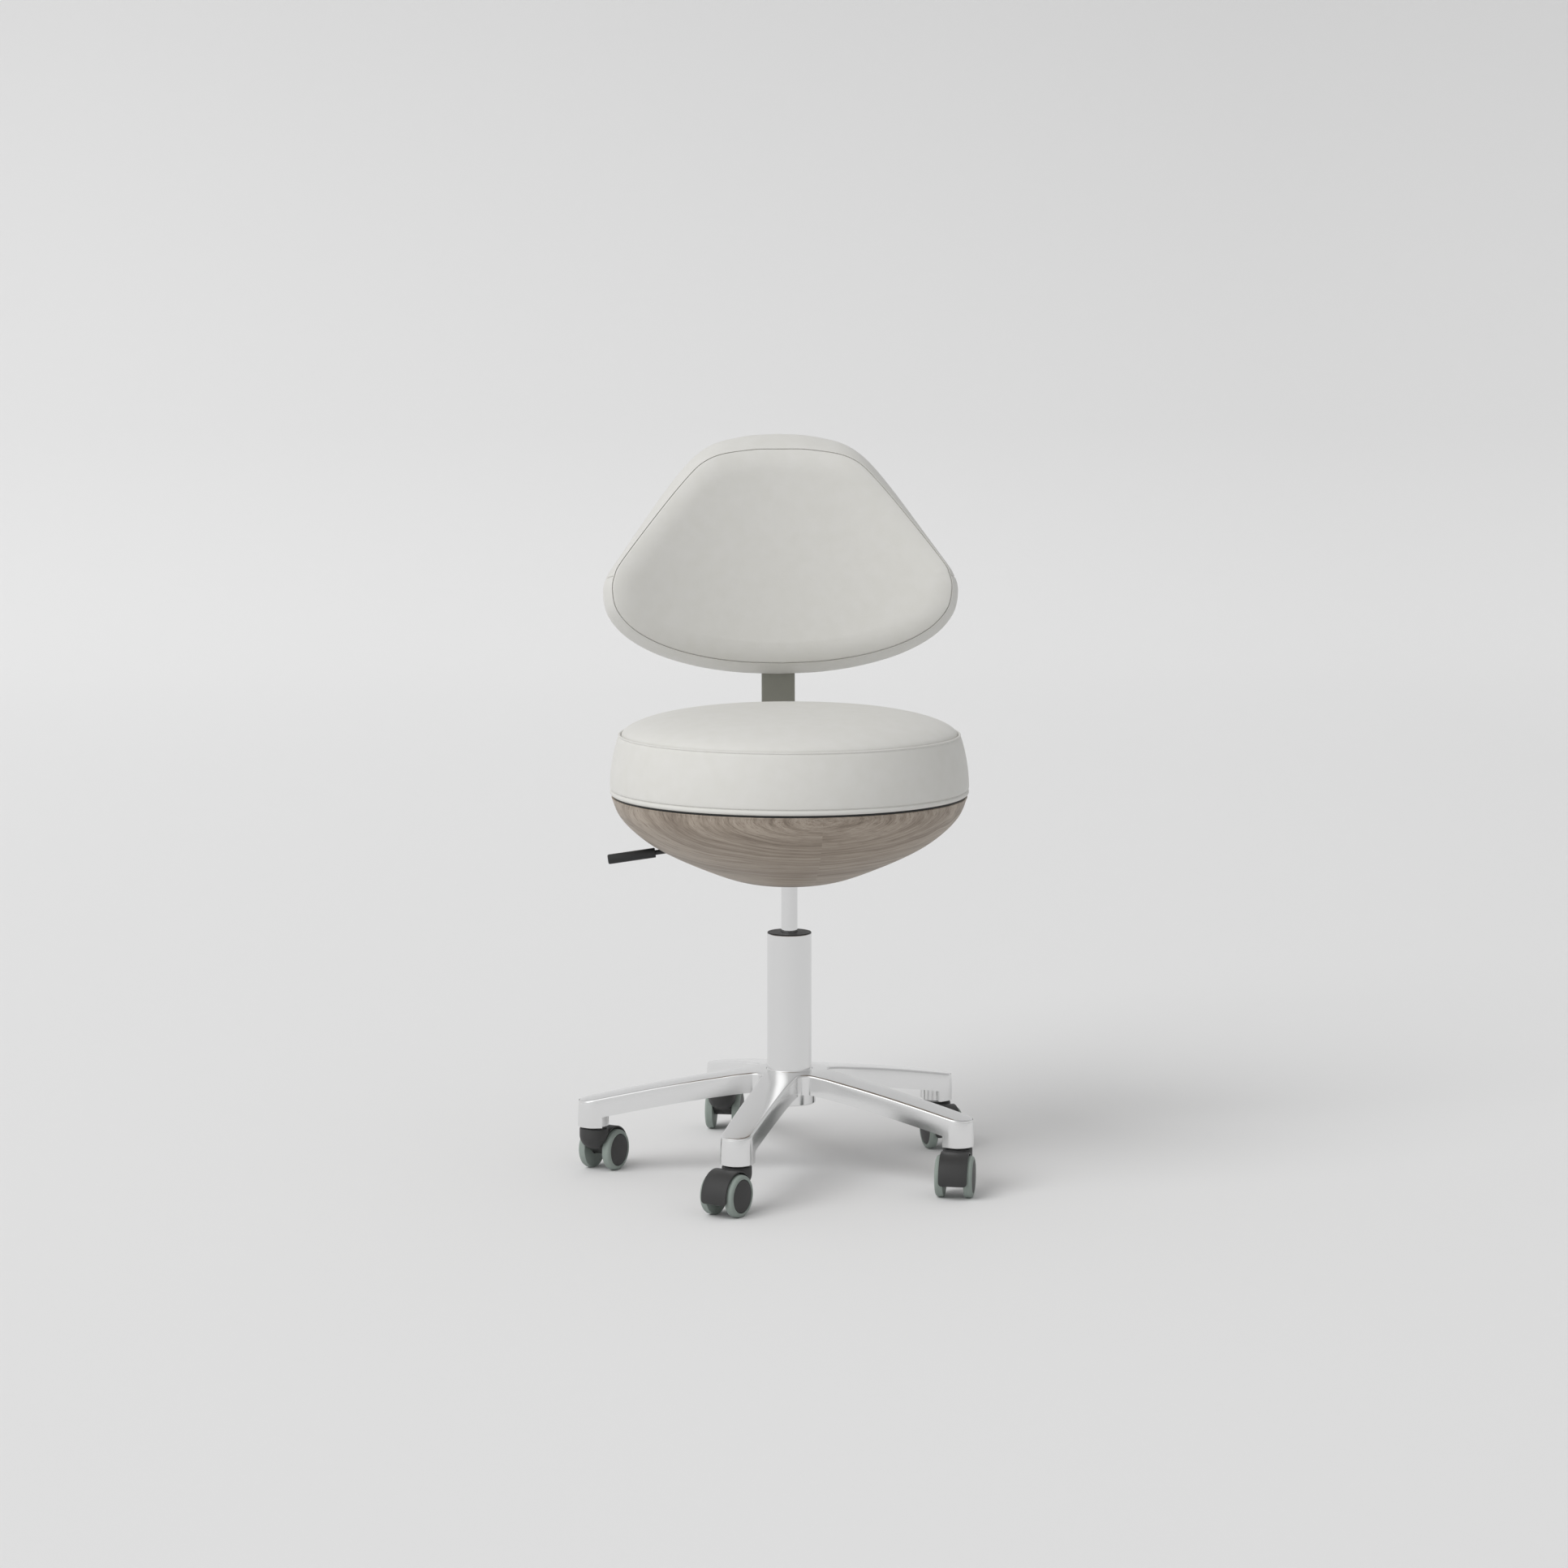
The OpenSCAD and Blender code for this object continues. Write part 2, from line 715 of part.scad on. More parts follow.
// Pressed steel bracket: a plate under the seat board, two side webs and the
// conical socket that holds the pressure tube
module seat_mechanism() {
    plate_z = board_z - plate_t;
    socket_low = lift_top_z - taper_h + finger_h;
    socket_top = lift_top_z - socket_inset;
    color("#4a4a4a") difference() {
        union() {
            translate([0, 0, plate_z]) rounded_plate(plate_l, plate_w, plate_t, plate_round);
            for (s = [-1, 1])
                translate([0, s * (mech_web_y + mech_web_t / 2) + mech_web_t / 2, 0])
                    rotate([90, 0, 0]) linear_extrude(mech_web_t) polygon([
                        [-mech_web_top / 2, plate_z + plate_t * half],
                        [mech_web_top / 2, plate_z + plate_t * half],
                        [mech_web_low / 2, socket_low], [-mech_web_low / 2, socket_low]]);
            translate([0, 0, socket_low]) cylinder(r = socket_r, h = socket_top - socket_low);
            for (z = [socket_low, socket_top - plate_t])
                translate([-socket_r, -mech_web_y - mech_web_t * half, z])
                    cube([2 * socket_r, 2 * mech_web_y + mech_web_t, plate_t]);
        }
        translate([0, 0, lift_top_z - taper_h])
            cylinder(r1 = lift_r + press_gap, r2 = lift_r - taper_in + press_gap, h = taper_h);
        translate([pivot_x, 0, pivot_z]) rotate([90, 0, 0])
            cylinder(r = pivot_r + press_gap, h = 4 * mech_web_y, center = true);
        at_plate_screws() translate([0, 0, plate_z - overrun])
            cylinder(r = screw_r + press_gap, h = plate_t + 2 * overrun);
    }
}

module lever_pivot_pin() {
    length = 2 * (mech_web_y + 2 * mech_web_t);
    color("lightgray") translate([pivot_x, 0, pivot_z]) rotate([90, 0, 0])
        cylinder(r = pivot_r, h = length, center = true);
}

// Places a child on the lever line, with X running outwards from the pivot
module on_lever() {
    translate([pivot_x, 0, pivot_z]) rotate([0, -lever_droop, 0]) mirror([1, 0, 0])
        rotate([0, 90, 0]) children();
}

module lever_rod() {
    boss_l = 2 * (mech_web_y - wheel_side_gap);
    color("#303030") difference() {
        union() {
            on_lever() cylinder(r = lever_d / 2, h = lever_reach - grip_d);
            translate([pivot_x, 0, pivot_z]) rotate([90, 0, 0])
                cylinder(r = pivot_boss_r, h = boss_l, center = true);
            translate([pivot_x, -finger_w / 2, pivot_z + seat_gap])
                cube([finger_past - pivot_x, finger_w, finger_h]);
        }
        translate([pivot_x, 0, pivot_z]) rotate([90, 0, 0])
            cylinder(r = pivot_r + run_gap, h = boss_l + 2 * overrun, center = true);
    }
}

module lever_grip() {
    round_r = grip_d / 6;
    start = lever_reach - grip_len;
    grip_r = grip_d / 2;
    bore = lever_d / 2 + press_gap;
    rod_end = lever_reach - grip_d + seat_gap;
    color("#262626") on_lever() rotate_extrude() polygon(concat(
        [[bore, start]],
        arc_points([grip_r - round_r, start + round_r], round_r, -90, 0, fine_steps),
        arc_points([grip_r - round_r, lever_reach - round_r], round_r, 0, 90, fine_steps),
        [[0, lever_reach], [0, rod_end], [bore, rod_end]]));
}

// Places a child at each bowl screw, clear of the bar and the lever
module at_bowl_screws() {
    for (k = [0:bowl_screw_count - 1])
        rotate(360 * k / bowl_screw_count) translate([bowl_screw_r, 0, 0]) children();
}

module seat_board() {
    color("burlywood") difference() {
        translate([0, 0, board_z]) cylinder(r = board_r, h = board_t);
        at_plate_screws() translate([0, 0, board_z - overrun])
            cylinder(r = screw_r + press_gap, h = screw_bite + overrun + seat_gap);
        at_bar_screws() translate([0, 0, board_z - overrun])
            cylinder(r = screw_r + press_gap, h = screw_bite + overrun + seat_gap);
        at_bowl_screws() bowl_screw_shape(press_gap);
    }
}

// Screw up through a plate t thick, with its head face at Z = 0
module seat_screw(t) {
    translate([0, 0, -screw_head_h]) cylinder(r = screw_head_r, h = screw_head_h);
    translate([0, 0, -screw_head_h * half])
        cylinder(r = screw_r, h = screw_head_h * half + t + screw_bite);
}

module seat_screws() {
    color("gray") {
        at_plate_screws() translate([0, 0, board_z - plate_t]) seat_screw(plate_t);
        at_bar_screws() translate([0, 0, board_z - bar_t]) seat_screw(bar_t);
    }
}

// Countersunk screw down from the top of the seat board, grown by g
module bowl_screw_shape(g) {
    top_z = board_z + board_t;
    head_r = bowl_screw_head / 2 + g;
    shank_r = bowl_screw_d / 2 + g;
    translate([0, 0, top_z - bowl_screw_len]) cylinder(r = shank_r, h = bowl_screw_len);
    translate([0, 0, top_z - (head_r - shank_r)])
        cylinder(r1 = shank_r, r2 = head_r, h = head_r - shank_r);
}

module bowl_screws() {
    color("gray") at_bowl_screws() bowl_screw_shape(0);
}

// Upholstered cushion: welt at the foot, side drawn in towards the top seam,
// crowned top, and a recess below for the seat board
module seat_cushion() {
    seam_r = seat_r - seat_lean;
    side_z = cushion_z + welt_d + seam_groove;
    rise = seam_z - side_z;
    side_radius = (rise * rise + seat_lean * seat_lean) / (2 * seat_lean);
    side_angle = asin(rise / side_radius);
    recess_r = board_r + seat_gap;
    recess_z = board_z + board_t + seat_gap;
    crown_r = seam_r - seam_groove;
    color("gainsboro") rotate_extrude() polygon(concat(
        [[recess_r, recess_z], [recess_r, cushion_z]],
        arc_points([seat_r - welt_r, cushion_z + welt_r], welt_r, -90, 60, fine_steps),
        arc_points([seat_r - side_radius, side_z], side_radius, 0, side_angle, curve_steps),
        [[crown_r, seam_z - seam_groove]],
        [for (i = [0:curve_steps])
            let (r = crown_r * cos(90 * i / curve_steps))
            [r, seam_z + crown_h * pow(1 - pow(r / crown_r, crown_power), crown_round)]],
        [[0, recess_z]]));
}

// Dark ring in the shadow gap between the cushion and the bowl
module trim_ring() {
    out_r = bowl_r - trim_inset;
    color("#241f1c") difference() {
        ring(out_r - trim_w, out_r, bowl_top_z, ring_t);
        translate([-bar_w / 2 - seat_gap, 0, bowl_top_z - overrun])
            cube([bar_w + 2 * seat_gap, 2 * bowl_r, ring_t + 2 * overrun]);
        at_bowl_screws() bowl_screw_shape(press_gap);
    }
}

// Points of the bowl's half profile for rim radius r, moved up by lift
function bowl_curve(r, h, lift) =
    [for (p = spline_points(bowl_shares, spline_steps)) [p[0] * r, p[1] * h + lift]];

module seat_bowl() {
    slot_r = lever_slot_w / 2;
    exit_x = bowl_r * lever_exit_share;
    slot_low = pivot_z + (pivot_x + exit_x) * -tan(lever_droop) - lever_slot_play;
    slot_top = pivot_z + (pivot_x + exit_x) * -tan(lever_droop - lever_lift) + lever_slot_play;
    flange_r0 = bowl_r - bowl_flange_w;
    color("#a39a90") difference() {
        rotate_extrude() polygon(concat(
            bowl_curve(bowl_r, bowl_h, bowl_low_z),
            [[flange_r0, bowl_top_z], [flange_r0, bowl_top_z - bowl_flange_t]],
            reversed(bowl_curve(bowl_r - bowl_wall, bowl_h - bowl_wall - bowl_flange_t,
                bowl_low_z + bowl_wall))));
        translate([0, 0, bowl_low_z - overrun])
            cylinder(r = lift_r + bowl_hole_gap, h = bowl_h * half);
        translate([-bar_w / 2 - seat_gap, 0, bowl_top_z + ring_t - bar_t - seat_gap])
            cube([bar_w + 2 * seat_gap, 2 * bowl_r, bar_t + overrun]);
        translate([-bowl_r, 0, 0]) rotate([90, 0, 90]) linear_extrude(bowl_r * half) union() {
            translate([-slot_r, slot_low]) square([lever_slot_w, slot_top - slot_low]);
            translate([0, slot_low]) circle(slot_r);
            translate([0, slot_top]) circle(slot_r);
        }
        at_bowl_screws() bowl_screw_shape(press_gap);
    }
}

// Places a child in the tilted frame of the backrest: Z runs up the bar from its
// bend and Y = 0 is the front face of the bar
module on_back() {
    translate([0, bar_bend_y, board_z + bar_bend]) rotate([-back_tilt, 0, 0])
        translate([0, bar_bend, 0]) children();
}

// Flat bar: under the seat board, round a bend and up behind the pad
module back_bar() {
    bend_c = [bar_bend_y, board_z + bar_bend];
    out_bend = bar_bend + bar_t;
    end_angle = -back_tilt;
    up = [sin(back_tilt), cos(back_tilt)];
    length = back_rise - bar_bend + bar_above;
    profile = concat(
        [[bar_start, board_z], [bar_start, board_z - bar_t]],
        arc_points(bend_c, out_bend, -90, end_angle, curve_steps),
        [bend_c + out_bend * [cos(end_angle), sin(end_angle)] + length * up,
            bend_c + bar_bend * [cos(end_angle), sin(end_angle)] + length * up],
        arc_points(bend_c, bar_bend, end_angle, -90, curve_steps));
    color("#737369") difference() {
        translate([-bar_w / 2, 0, 0]) rotate([90, 0, 90]) linear_extrude(bar_w) polygon(profile);
        at_bar_screws() translate([0, 0, board_z - bar_t - overrun])
            cylinder(r = screw_r + press_gap, h = bar_t + 2 * overrun);
        at_back_screws() translate([0, -overrun, 0]) rotate([-90, 0, 0])
            cylinder(r = back_screw_r + press_gap, h = bar_t + 2 * overrun);
    }
}

// Places a child at each backrest screw, on the front face of the bar
module at_back_screws() {
    on_back() for (x = [-1, 1], i = [0:1])
        translate([x * back_screw_x, 0,
            back_rise - bar_bend + back_screw_low + i * back_screw_step]) children();
}

// Outline of the backrest at share s between its rear line and its front seam,
// grown by share g about its middle
function back_outline(s, g) = [for (p = mirrored(spline_points(
    rear_shares * (1 - s) + seam_shares * s, spline_steps)))
    [p[0] * g * back_w / 2, (back_centre_share + (p[1] - back_centre_share) * g) * back_h]];

// Rings of the back pad from the middle of its rear to the middle of its front:
// share of the way from the rear line to the front seam, size as a share of that
// outline, depth as a share of pad_t and of pad_bulge
pad_ring_shares = [[0, 0.5, 0, 0], [0, back_recess_share, 0, 0],
    [0, back_recess_share, -back_lip_share, 0], [0, 0.985, -back_lip_share, 0],
    [0, 1, -back_lip_share / 2, 0], [0.1, 1, 0.2, 0], [0.5, 1.004, 0.6, 0], [1, 1, 1, 0],
    [1, 0.985, 1, 0.3], [1, 0.93, 1, 0.65], [1, 0.8, 1, 0.9], [1, 0.45, 1, 1]];

// Forward shift of the bent backrest at x
function back_curve(x) = back_bend_r - sqrt(back_bend_r * back_bend_r - x * x);

// Curved plywood board of the backrest, with its screw holes
module back_board() {
    axis_y = -back_board_t - back_bend_r;
    color("lightgray") difference() {
        on_back() intersection() {
            translate([0, 0, back_rise - bar_bend]) rotate([90, 0, 0])
                linear_extrude(back_bend_r * half) polygon(back_outline(0, back_board_share));
            translate([0, axis_y, back_rise - bar_bend - back_h]) difference() {
                cylinder(r = back_bend_r + back_board_t, h = 3 * back_h);
                translate([0, 0, -overrun])
                    cylinder(r = back_bend_r, h = 3 * back_h + 2 * overrun);
            }
        }
        at_back_screws() rotate([90, 0, 0])
            cylinder(r = back_screw_r + press_gap, h = back_screw_bite + seat_gap);
    }
}

// One ring of the pad from its shares q
function pad_ring(q) = [for (p = back_outline(q[0], q[1]))
    [p[0], -back_board_t - seat_gap - q[2] * pad_t - q[3] * pad_bulge - back_curve(p[0]), p[1]]];

// Padded back: a lip round the board, tapered boxing and a bulged front panel
module back_pad() {
    rings = [for (q = pad_ring_shares) pad_ring(q)];
    n = len(rings[0]);
    m = len(rings);
    centre_z = back_centre_share * back_h;
    points = concat(
        [for (ring_points = rings) each ring_points],
        [[0, rings[0][0][1], centre_z], [0, rings[m - 1][0][1], centre_z]]);
    sides = [for (j = [0:m - 2]) for (i = [0:n - 1])
        let (a = j * n + i, b = j * n + (i + 1) % n)
        each [[a, b, a + n], [b, b + n, a + n]]];
    caps = [for (i = [0:n - 1]) let (k = (i + 1) % n)
        each [[m * n, k, i], [m * n + 1, (m - 1) * n + i, (m - 1) * n + k]]];
    color("gainsboro") on_back() translate([0, 0, back_rise - bar_bend])
        polyhedron(points, concat(sides, caps));
}

module back_screws() {
    shank = back_screw_head_h * half + bar_t + back_screw_bite;
    color("gray") at_back_screws() translate([0, bar_t, 0]) rotate([90, 0, 0]) {
        translate([0, 0, -back_screw_head_h])
            cylinder(r = back_screw_head_r, h = back_screw_head_h);
        translate([0, 0, -back_screw_head_h * half]) cylinder(r = back_screw_r, h = shank);
    }
}

star_base();
caster_stems();
column_tube();
column_bush();
column_foot();
bearing_race_lower();
bearing_balls();
bearing_race_upper();
bump_ring();
piston_rod();
piston();
rod_clip();
pressure_tube();
rod_guide();
release_pin();
seat_mechanism();
lever_pivot_pin();
lever_rod();
lever_grip();
seat_board();
seat_screws();
seat_cushion();
trim_ring();
seat_bowl();
bowl_screws();
back_bar();
back_board();
back_pad();
back_screws();
for (c = [0:arm_count - 1]) {
    caster_housing(c);
    caster_axle(c);
    caster_wheel(c, -1);
    caster_wheel(c, 1);
    caster_tyre(c, -1);
    caster_tyre(c, 1);
}
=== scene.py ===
"""Salon stool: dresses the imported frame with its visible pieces, finishes and studio."""

import json
import logging
import math
from dataclasses import dataclass
from enum import Enum
from typing import Sequence, Union

import bmesh
import bpy
from bmesh.types import BMEdge, BMesh, BMVert
from bpy.types import Material, Object
from mathutils import Matrix, Vector


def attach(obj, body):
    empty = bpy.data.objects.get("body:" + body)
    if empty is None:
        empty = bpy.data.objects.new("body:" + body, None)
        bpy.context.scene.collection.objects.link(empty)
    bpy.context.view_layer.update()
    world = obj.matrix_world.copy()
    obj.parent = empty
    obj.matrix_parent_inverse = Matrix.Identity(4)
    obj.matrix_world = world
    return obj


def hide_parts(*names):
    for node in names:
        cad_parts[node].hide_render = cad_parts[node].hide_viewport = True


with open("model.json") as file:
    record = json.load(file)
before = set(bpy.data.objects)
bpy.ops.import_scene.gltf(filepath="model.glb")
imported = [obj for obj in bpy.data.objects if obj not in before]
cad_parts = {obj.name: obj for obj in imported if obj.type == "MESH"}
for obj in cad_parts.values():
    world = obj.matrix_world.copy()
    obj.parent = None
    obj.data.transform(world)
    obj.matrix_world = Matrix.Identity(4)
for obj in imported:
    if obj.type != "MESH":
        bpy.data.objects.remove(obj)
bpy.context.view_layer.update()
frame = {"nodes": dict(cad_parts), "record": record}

LOG = logging.getLogger("salon_stool")
FULL_TURN = 2.0 * math.pi
WELD = 1e-6
SHARP = 0.6
SOFT = 1.2
LARGE_FACES = 90
ARM_COUNT = 5
ARM_REACH = 0.220
FIRST_ARM = 179.6
HUB_TOP = 0.1158
Pair = tuple[float, float]
Color = tuple[float, float, float, float]


class Slot(Enum):
    """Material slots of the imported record."""

    BASE = "base_metal"
    COLUMN = "column_metal"
    CHROME = "lift_chrome"
    STEEL = "zinc_steel"
    BLACK_STEEL = "black_steel"
    BAR = "bar_paint"
    BLACK = "black_plastic"
    CASTER = "caster_plastic"
    TREAD = "tread_rubber"
    BUMP = "bump_rubber"
    PLYWOOD = "plywood"
    OAK = "bowl_oak"
    VINYL = "upholstery"


# Shader tools.


class Socket:
    """A shader socket whose arithmetic adds Math nodes to its tree."""

    def __init__(self, tree: bpy.types.NodeTree, socket: bpy.types.NodeSocket) -> None:
        """Wraps an output socket of a tree."""
        self.tree = tree
        self.socket = socket

    def math(self, operation: str, *values: "Operand") -> "Socket":
        """Adds a Math node on these values.

        Args:
            operation: The node's operation.
            values: The sockets or numbers that it takes, in order.

        Returns:
            The node's result.
        """
        node = self.tree.nodes.new("ShaderNodeMath")
        node.operation = operation
        for slot, value in zip(node.inputs, values):
            if isinstance(value, Socket):
                self.tree.links.new(value.socket, slot)
            else:
                slot.default_value = value
        return Socket(self.tree, node.outputs[0])

    def __add__(self, other: "Operand") -> "Socket":
        """Sum."""
        return self.math("ADD", self, other)

    __radd__ = __add__

    def __sub__(self, other: "Operand") -> "Socket":
        """Difference."""
        return self.math("SUBTRACT", self, other)

    def __mul__(self, other: "Operand") -> "Socket":
        """Product."""
        return self.math("MULTIPLY", self, other)

    def __pow__(self, other: "Operand") -> "Socket":
        """Power."""
        return self.math("POWER", self, other)

    def clamped(self) -> "Socket":
        """The value held between 0 and 1."""
        return self.math("MINIMUM", self.math("MAXIMUM", self, 0.0), 1.0)


Operand = Union[Socket, float]
SocketValue = Union[Operand, Sequence[float]]


class Graph:
    """A node tree under construction."""

    def __init__(self, tree: bpy.types.NodeTree) -> None:
        """Empties a node tree and adds its coordinates."""
        self.tree = tree
        self.tree.nodes.clear()
        self.coordinates = self.add("ShaderNodeTexCoord")
        self.place = self.out(self.coordinates, "Object")

    def add(self, kind: str, sockets: dict[str, SocketValue] | None = None,
            **settings: str | bool) -> bpy.types.Node:
        """Adds a node.

        Args:
            kind: The node's type name.
            sockets: Values or links by socket name or identifier.
            settings: Attributes of the node, which are set first.

        Returns:
            The new node.
        """
        node = self.tree.nodes.new(kind)
        for key, value in settings.items():
            setattr(node, key, value)
        for key, value in (sockets or {}).items():
            slot = next(s for s in node.inputs if key in (s.identifier, s.name) and s.enabled)
            if isinstance(value, Socket):
                self.tree.links.new(value.socket, slot)
            else:
                slot.default_value = value
        return node

    def out(self, node: bpy.types.Node, name: str) -> Socket:
        """One output of a node, by name or identifier."""
        found = next(s for s in node.outputs if name in (s.identifier, s.name) and s.enabled)
        return Socket(self.tree, found)

    def read(self, output: str, kind: str, sockets: dict[str, SocketValue],
             **settings: str | bool) -> Socket:
        """One output of a new node."""
        return self.out(self.add(kind, sockets, **settings), output)

    def split(self, vector: Socket) -> list[Socket]:
        """The three parts of a vector."""
        parts = self.add("ShaderNodeSeparateXYZ", {"Vector": vector})
        return [self.out(parts, axis) for axis in "XYZ"]

    def mapped(self, vector: Socket, scale: Sequence[float],
               location: Sequence[float] = (0.0, 0.0, 0.0)) -> Socket:
        """A vector scaled along each axis, then moved."""
        return self.read("Vector", "ShaderNodeMapping",
                         {"Vector": vector, "Location": location, "Scale": scale},
                         vector_type="POINT")

    def noise(self, scale: float, detail: float = 3.0, stretch: Sequence[float] = (1, 1, 1),
              vector: Socket | None = None, roughness: float = 0.5) -> Socket:
        """Noise value over the piece.

        Args:
            scale: Cells per metre.
            detail: Octaves.
            stretch: Scale along each axis.
            vector: Coordinates, or None for Object coordinates.
            roughness: Strength of the finer octaves.

        Returns:
            The noise, from 0 to 1.
        """
        return self.read("Fac", "ShaderNodeTexNoise",
                         {"Vector": self.mapped(vector or self.place, stretch),
                          "Scale": scale, "Detail": detail, "Roughness": roughness},
                         noise_dimensions="3D")

    def blend(self, factor: SocketValue, low: SocketValue, high: SocketValue) -> Socket:
        """Mixes two colours by a factor."""
        return self.read("Result_Color", "ShaderNodeMix",
                         {"Factor_Float": factor, "A_Color": low, "B_Color": high},
                         data_type="RGBA")

    def ramp(self, value: Socket, stops: Sequence[tuple[float, Color]]) -> Socket:
        """Colour ramp on a value."""
        node = self.add("ShaderNodeValToRGB", {"Fac": value})
        elements = node.color_ramp.elements
        elements.remove(elements[-1])
        elements[0].position, elements[0].color = stops[0]
        for position, color in stops[1:]:
            elements.new(position).color = color
        return self.out(node, "Color")

    def band(self, value: Socket, low: float, high: float) -> Socket:
        """The value moved from low..high to 0..1 and clamped."""
        return self.read("Result", "ShaderNodeMapRange",
                         {"Value": value, "From Min": low, "From Max": high}, clamp=True)

    def bump(self, height: Socket, depth: float, strength: float = 0.5) -> Socket:
        """Normal from a height, at a depth in metres."""
        return self.read("Normal", "ShaderNodeBump",
                         {"Height": height, "Distance": depth, "Strength": strength})


class Recipe(Graph):
    """A material under construction, with one Principled shader."""

    def __init__(self, name: str) -> None:
        """Starts an empty material under this name."""
        self.material = bpy.data.materials.new(name)
        self.material.use_nodes = True
        super().__init__(self.material.node_tree)

    def finish(self, sockets: dict[str, SocketValue]) -> Material:
        """Adds the shader with these sockets, and the output."""
        shader = self.read("BSDF", "ShaderNodeBsdfPrincipled", sockets)
        self.add("ShaderNodeOutputMaterial", {"Surface": shader})
        return self.material


def tone(red: float, green: float | None = None, blue: float | None = None) -> Color:
    """Linear colour of an 8 bit screen colour.

    Args:
        red: Red from 0 to 255, or the grey when it stands alone.
        green: Green from 0 to 255.
        blue: Blue from 0 to 255.

    Returns:
        The linear colour with full alpha.
    """
    shares = [(red if value is None else value) / 255.0 for value in (red, green, blue)]
    linear = [s / 12.92 if s <= 0.04045 else ((s + 0.055) / 1.055) ** 2.4 for s in shares]
    return (*linear, 1.0)


# Finishes.


@dataclass(frozen=True)
class Vinyl:
    """Fine grained upholstery vinyl."""

    color: Color = tone(217, 216, 212)
    shade: Color = tone(214, 213, 208)
    grain: float = 1500.0
    grain_depth: float = 0.00006
    roughness: float = 0.47

    def build(self, name: str) -> Material:
        """The material under this name."""
        recipe = Recipe(name)
        cells = recipe.read("Distance", "ShaderNodeTexVoronoi",
                            {"Vector": recipe.place, "Scale": self.grain}, feature="F1")
        height = cells + recipe.noise(self.grain * 2.2, 2.0) * 0.4
        mottle = recipe.band(recipe.noise(60.0, 4.0), 0.3, 0.7)
        return recipe.finish({
            "Base Color": recipe.blend(mottle, self.shade, self.color),
            "Roughness": recipe.noise(220.0, 2.0) * 0.1 + self.roughness,
            "Specular IOR Level": 0.35,
            "Sheen Weight": 0.06,
            "Sheen Roughness": 0.5,
            "Normal": recipe.bump(height, self.grain_depth),
        })


@dataclass(frozen=True)
class Oak:
    """Greyed oak laminate, with growth rings about an axis through the bowl's front."""

    light: Color = tone(174, 162, 149)
    middle: Color = tone(150, 138, 125)
    dark: Color = tone(110, 97, 86)
    stops: tuple = (0.34, 0.47, 0.58, 0.72)
    centre: tuple = (0.024, 0.0, 0.422)
    squash: tuple = (0.27, 0.0, 1.0)
    wide_wander: float = 0.014
    fine_wander: float = 0.0022
    slow_share: float = 0.26
    relief: float = 0.0002

    def build(self, name: str) -> Material:
        """The material under this name."""
        recipe = Recipe(name)
        location = tuple(-c * s for c, s in zip(self.centre, self.squash))
        across, _, up = recipe.split(recipe.mapped(recipe.place, self.squash, location))
        wander = (recipe.noise(9.0, 2.0, (0.5, 1.0, 1.0)) * self.wide_wander
                  + recipe.noise(45.0, 2.0, (0.3, 1.0, 1.0)) * self.fine_wander)
        ring = (across * across + up * up) ** 0.5 + wander
        turn = across.math("ARCTAN2", across, up)

        def layer(rings: float, turns: float, detail: float, roughness: float) -> Socket:
            """Noise that runs along the growth rings."""
            polar = recipe.read("Vector", "ShaderNodeCombineXYZ",
                                {"X": ring * rings, "Y": turn * turns})
            return recipe.noise(1.0, detail, vector=polar, roughness=roughness)

        streak = (layer(420.0, 0.7, 6.0, 0.72) * (1.0 - self.slow_share)
                  + layer(95.0, 0.35, 2.0, 0.5) * self.slow_share)
        pore = layer(2100.0, 5.0, 3.0, 0.6)
        tones = (self.dark, self.middle, self.light, self.middle)
        color = recipe.ramp(streak, list(zip(self.stops, tones)))
        return recipe.finish({
            "Base Color": recipe.blend(recipe.band(pore, 0.52, 0.68) * 0.6, color, self.dark),
            "Roughness": recipe.band(pore, 0.3, 0.8) * 0.12 + 0.42,
            "Specular IOR Level": 0.4,
            "Normal": recipe.bump(streak * 0.6 - recipe.band(pore, 0.55, 0.7) * 0.5,
                                  self.relief),
        })


@dataclass(frozen=True)
class Metal:
    """Polished or satin metal with faint wear."""

    color: Color
    roughness: float
    spread: float = 0.08
    brush: tuple = (1.0, 1.0, 1.0)
    brush_scale: float = 400.0
    depth: float = 0.00001

    def build(self, name: str) -> Material:
        """The material under this name."""
        recipe = Recipe(name)
        brushed = recipe.noise(self.brush_scale, stretch=self.brush)
        wear = (brushed + recipe.noise(30.0)) * self.spread
        return recipe.finish({
            "Base Color": self.color,
            "Metallic": 1.0,
            "Roughness": wear + (self.roughness - self.spread),
            "Normal": recipe.bump(brushed, self.depth, 0.6),
        })


@dataclass(frozen=True)
class Moulded:
    """Moulded plastic, rubber or satin paint with a fine texture."""

    color: Color
    lift: Color
    roughness: float = 0.45
    texture: float = 1800.0
    depth: float = 0.00004

    def build(self, name: str) -> Material:
        """The material under this name."""
        recipe = Recipe(name)
        cloud = recipe.band(recipe.noise(45.0), 0.3, 0.7)
        return recipe.finish({
            "Base Color": recipe.blend(cloud, self.color, self.lift),
            "Roughness": cloud * 0.08 + self.roughness,
            "Specular IOR Level": 0.45,
            "Normal": recipe.bump(recipe.noise(self.texture, 2.0), self.depth),
        })


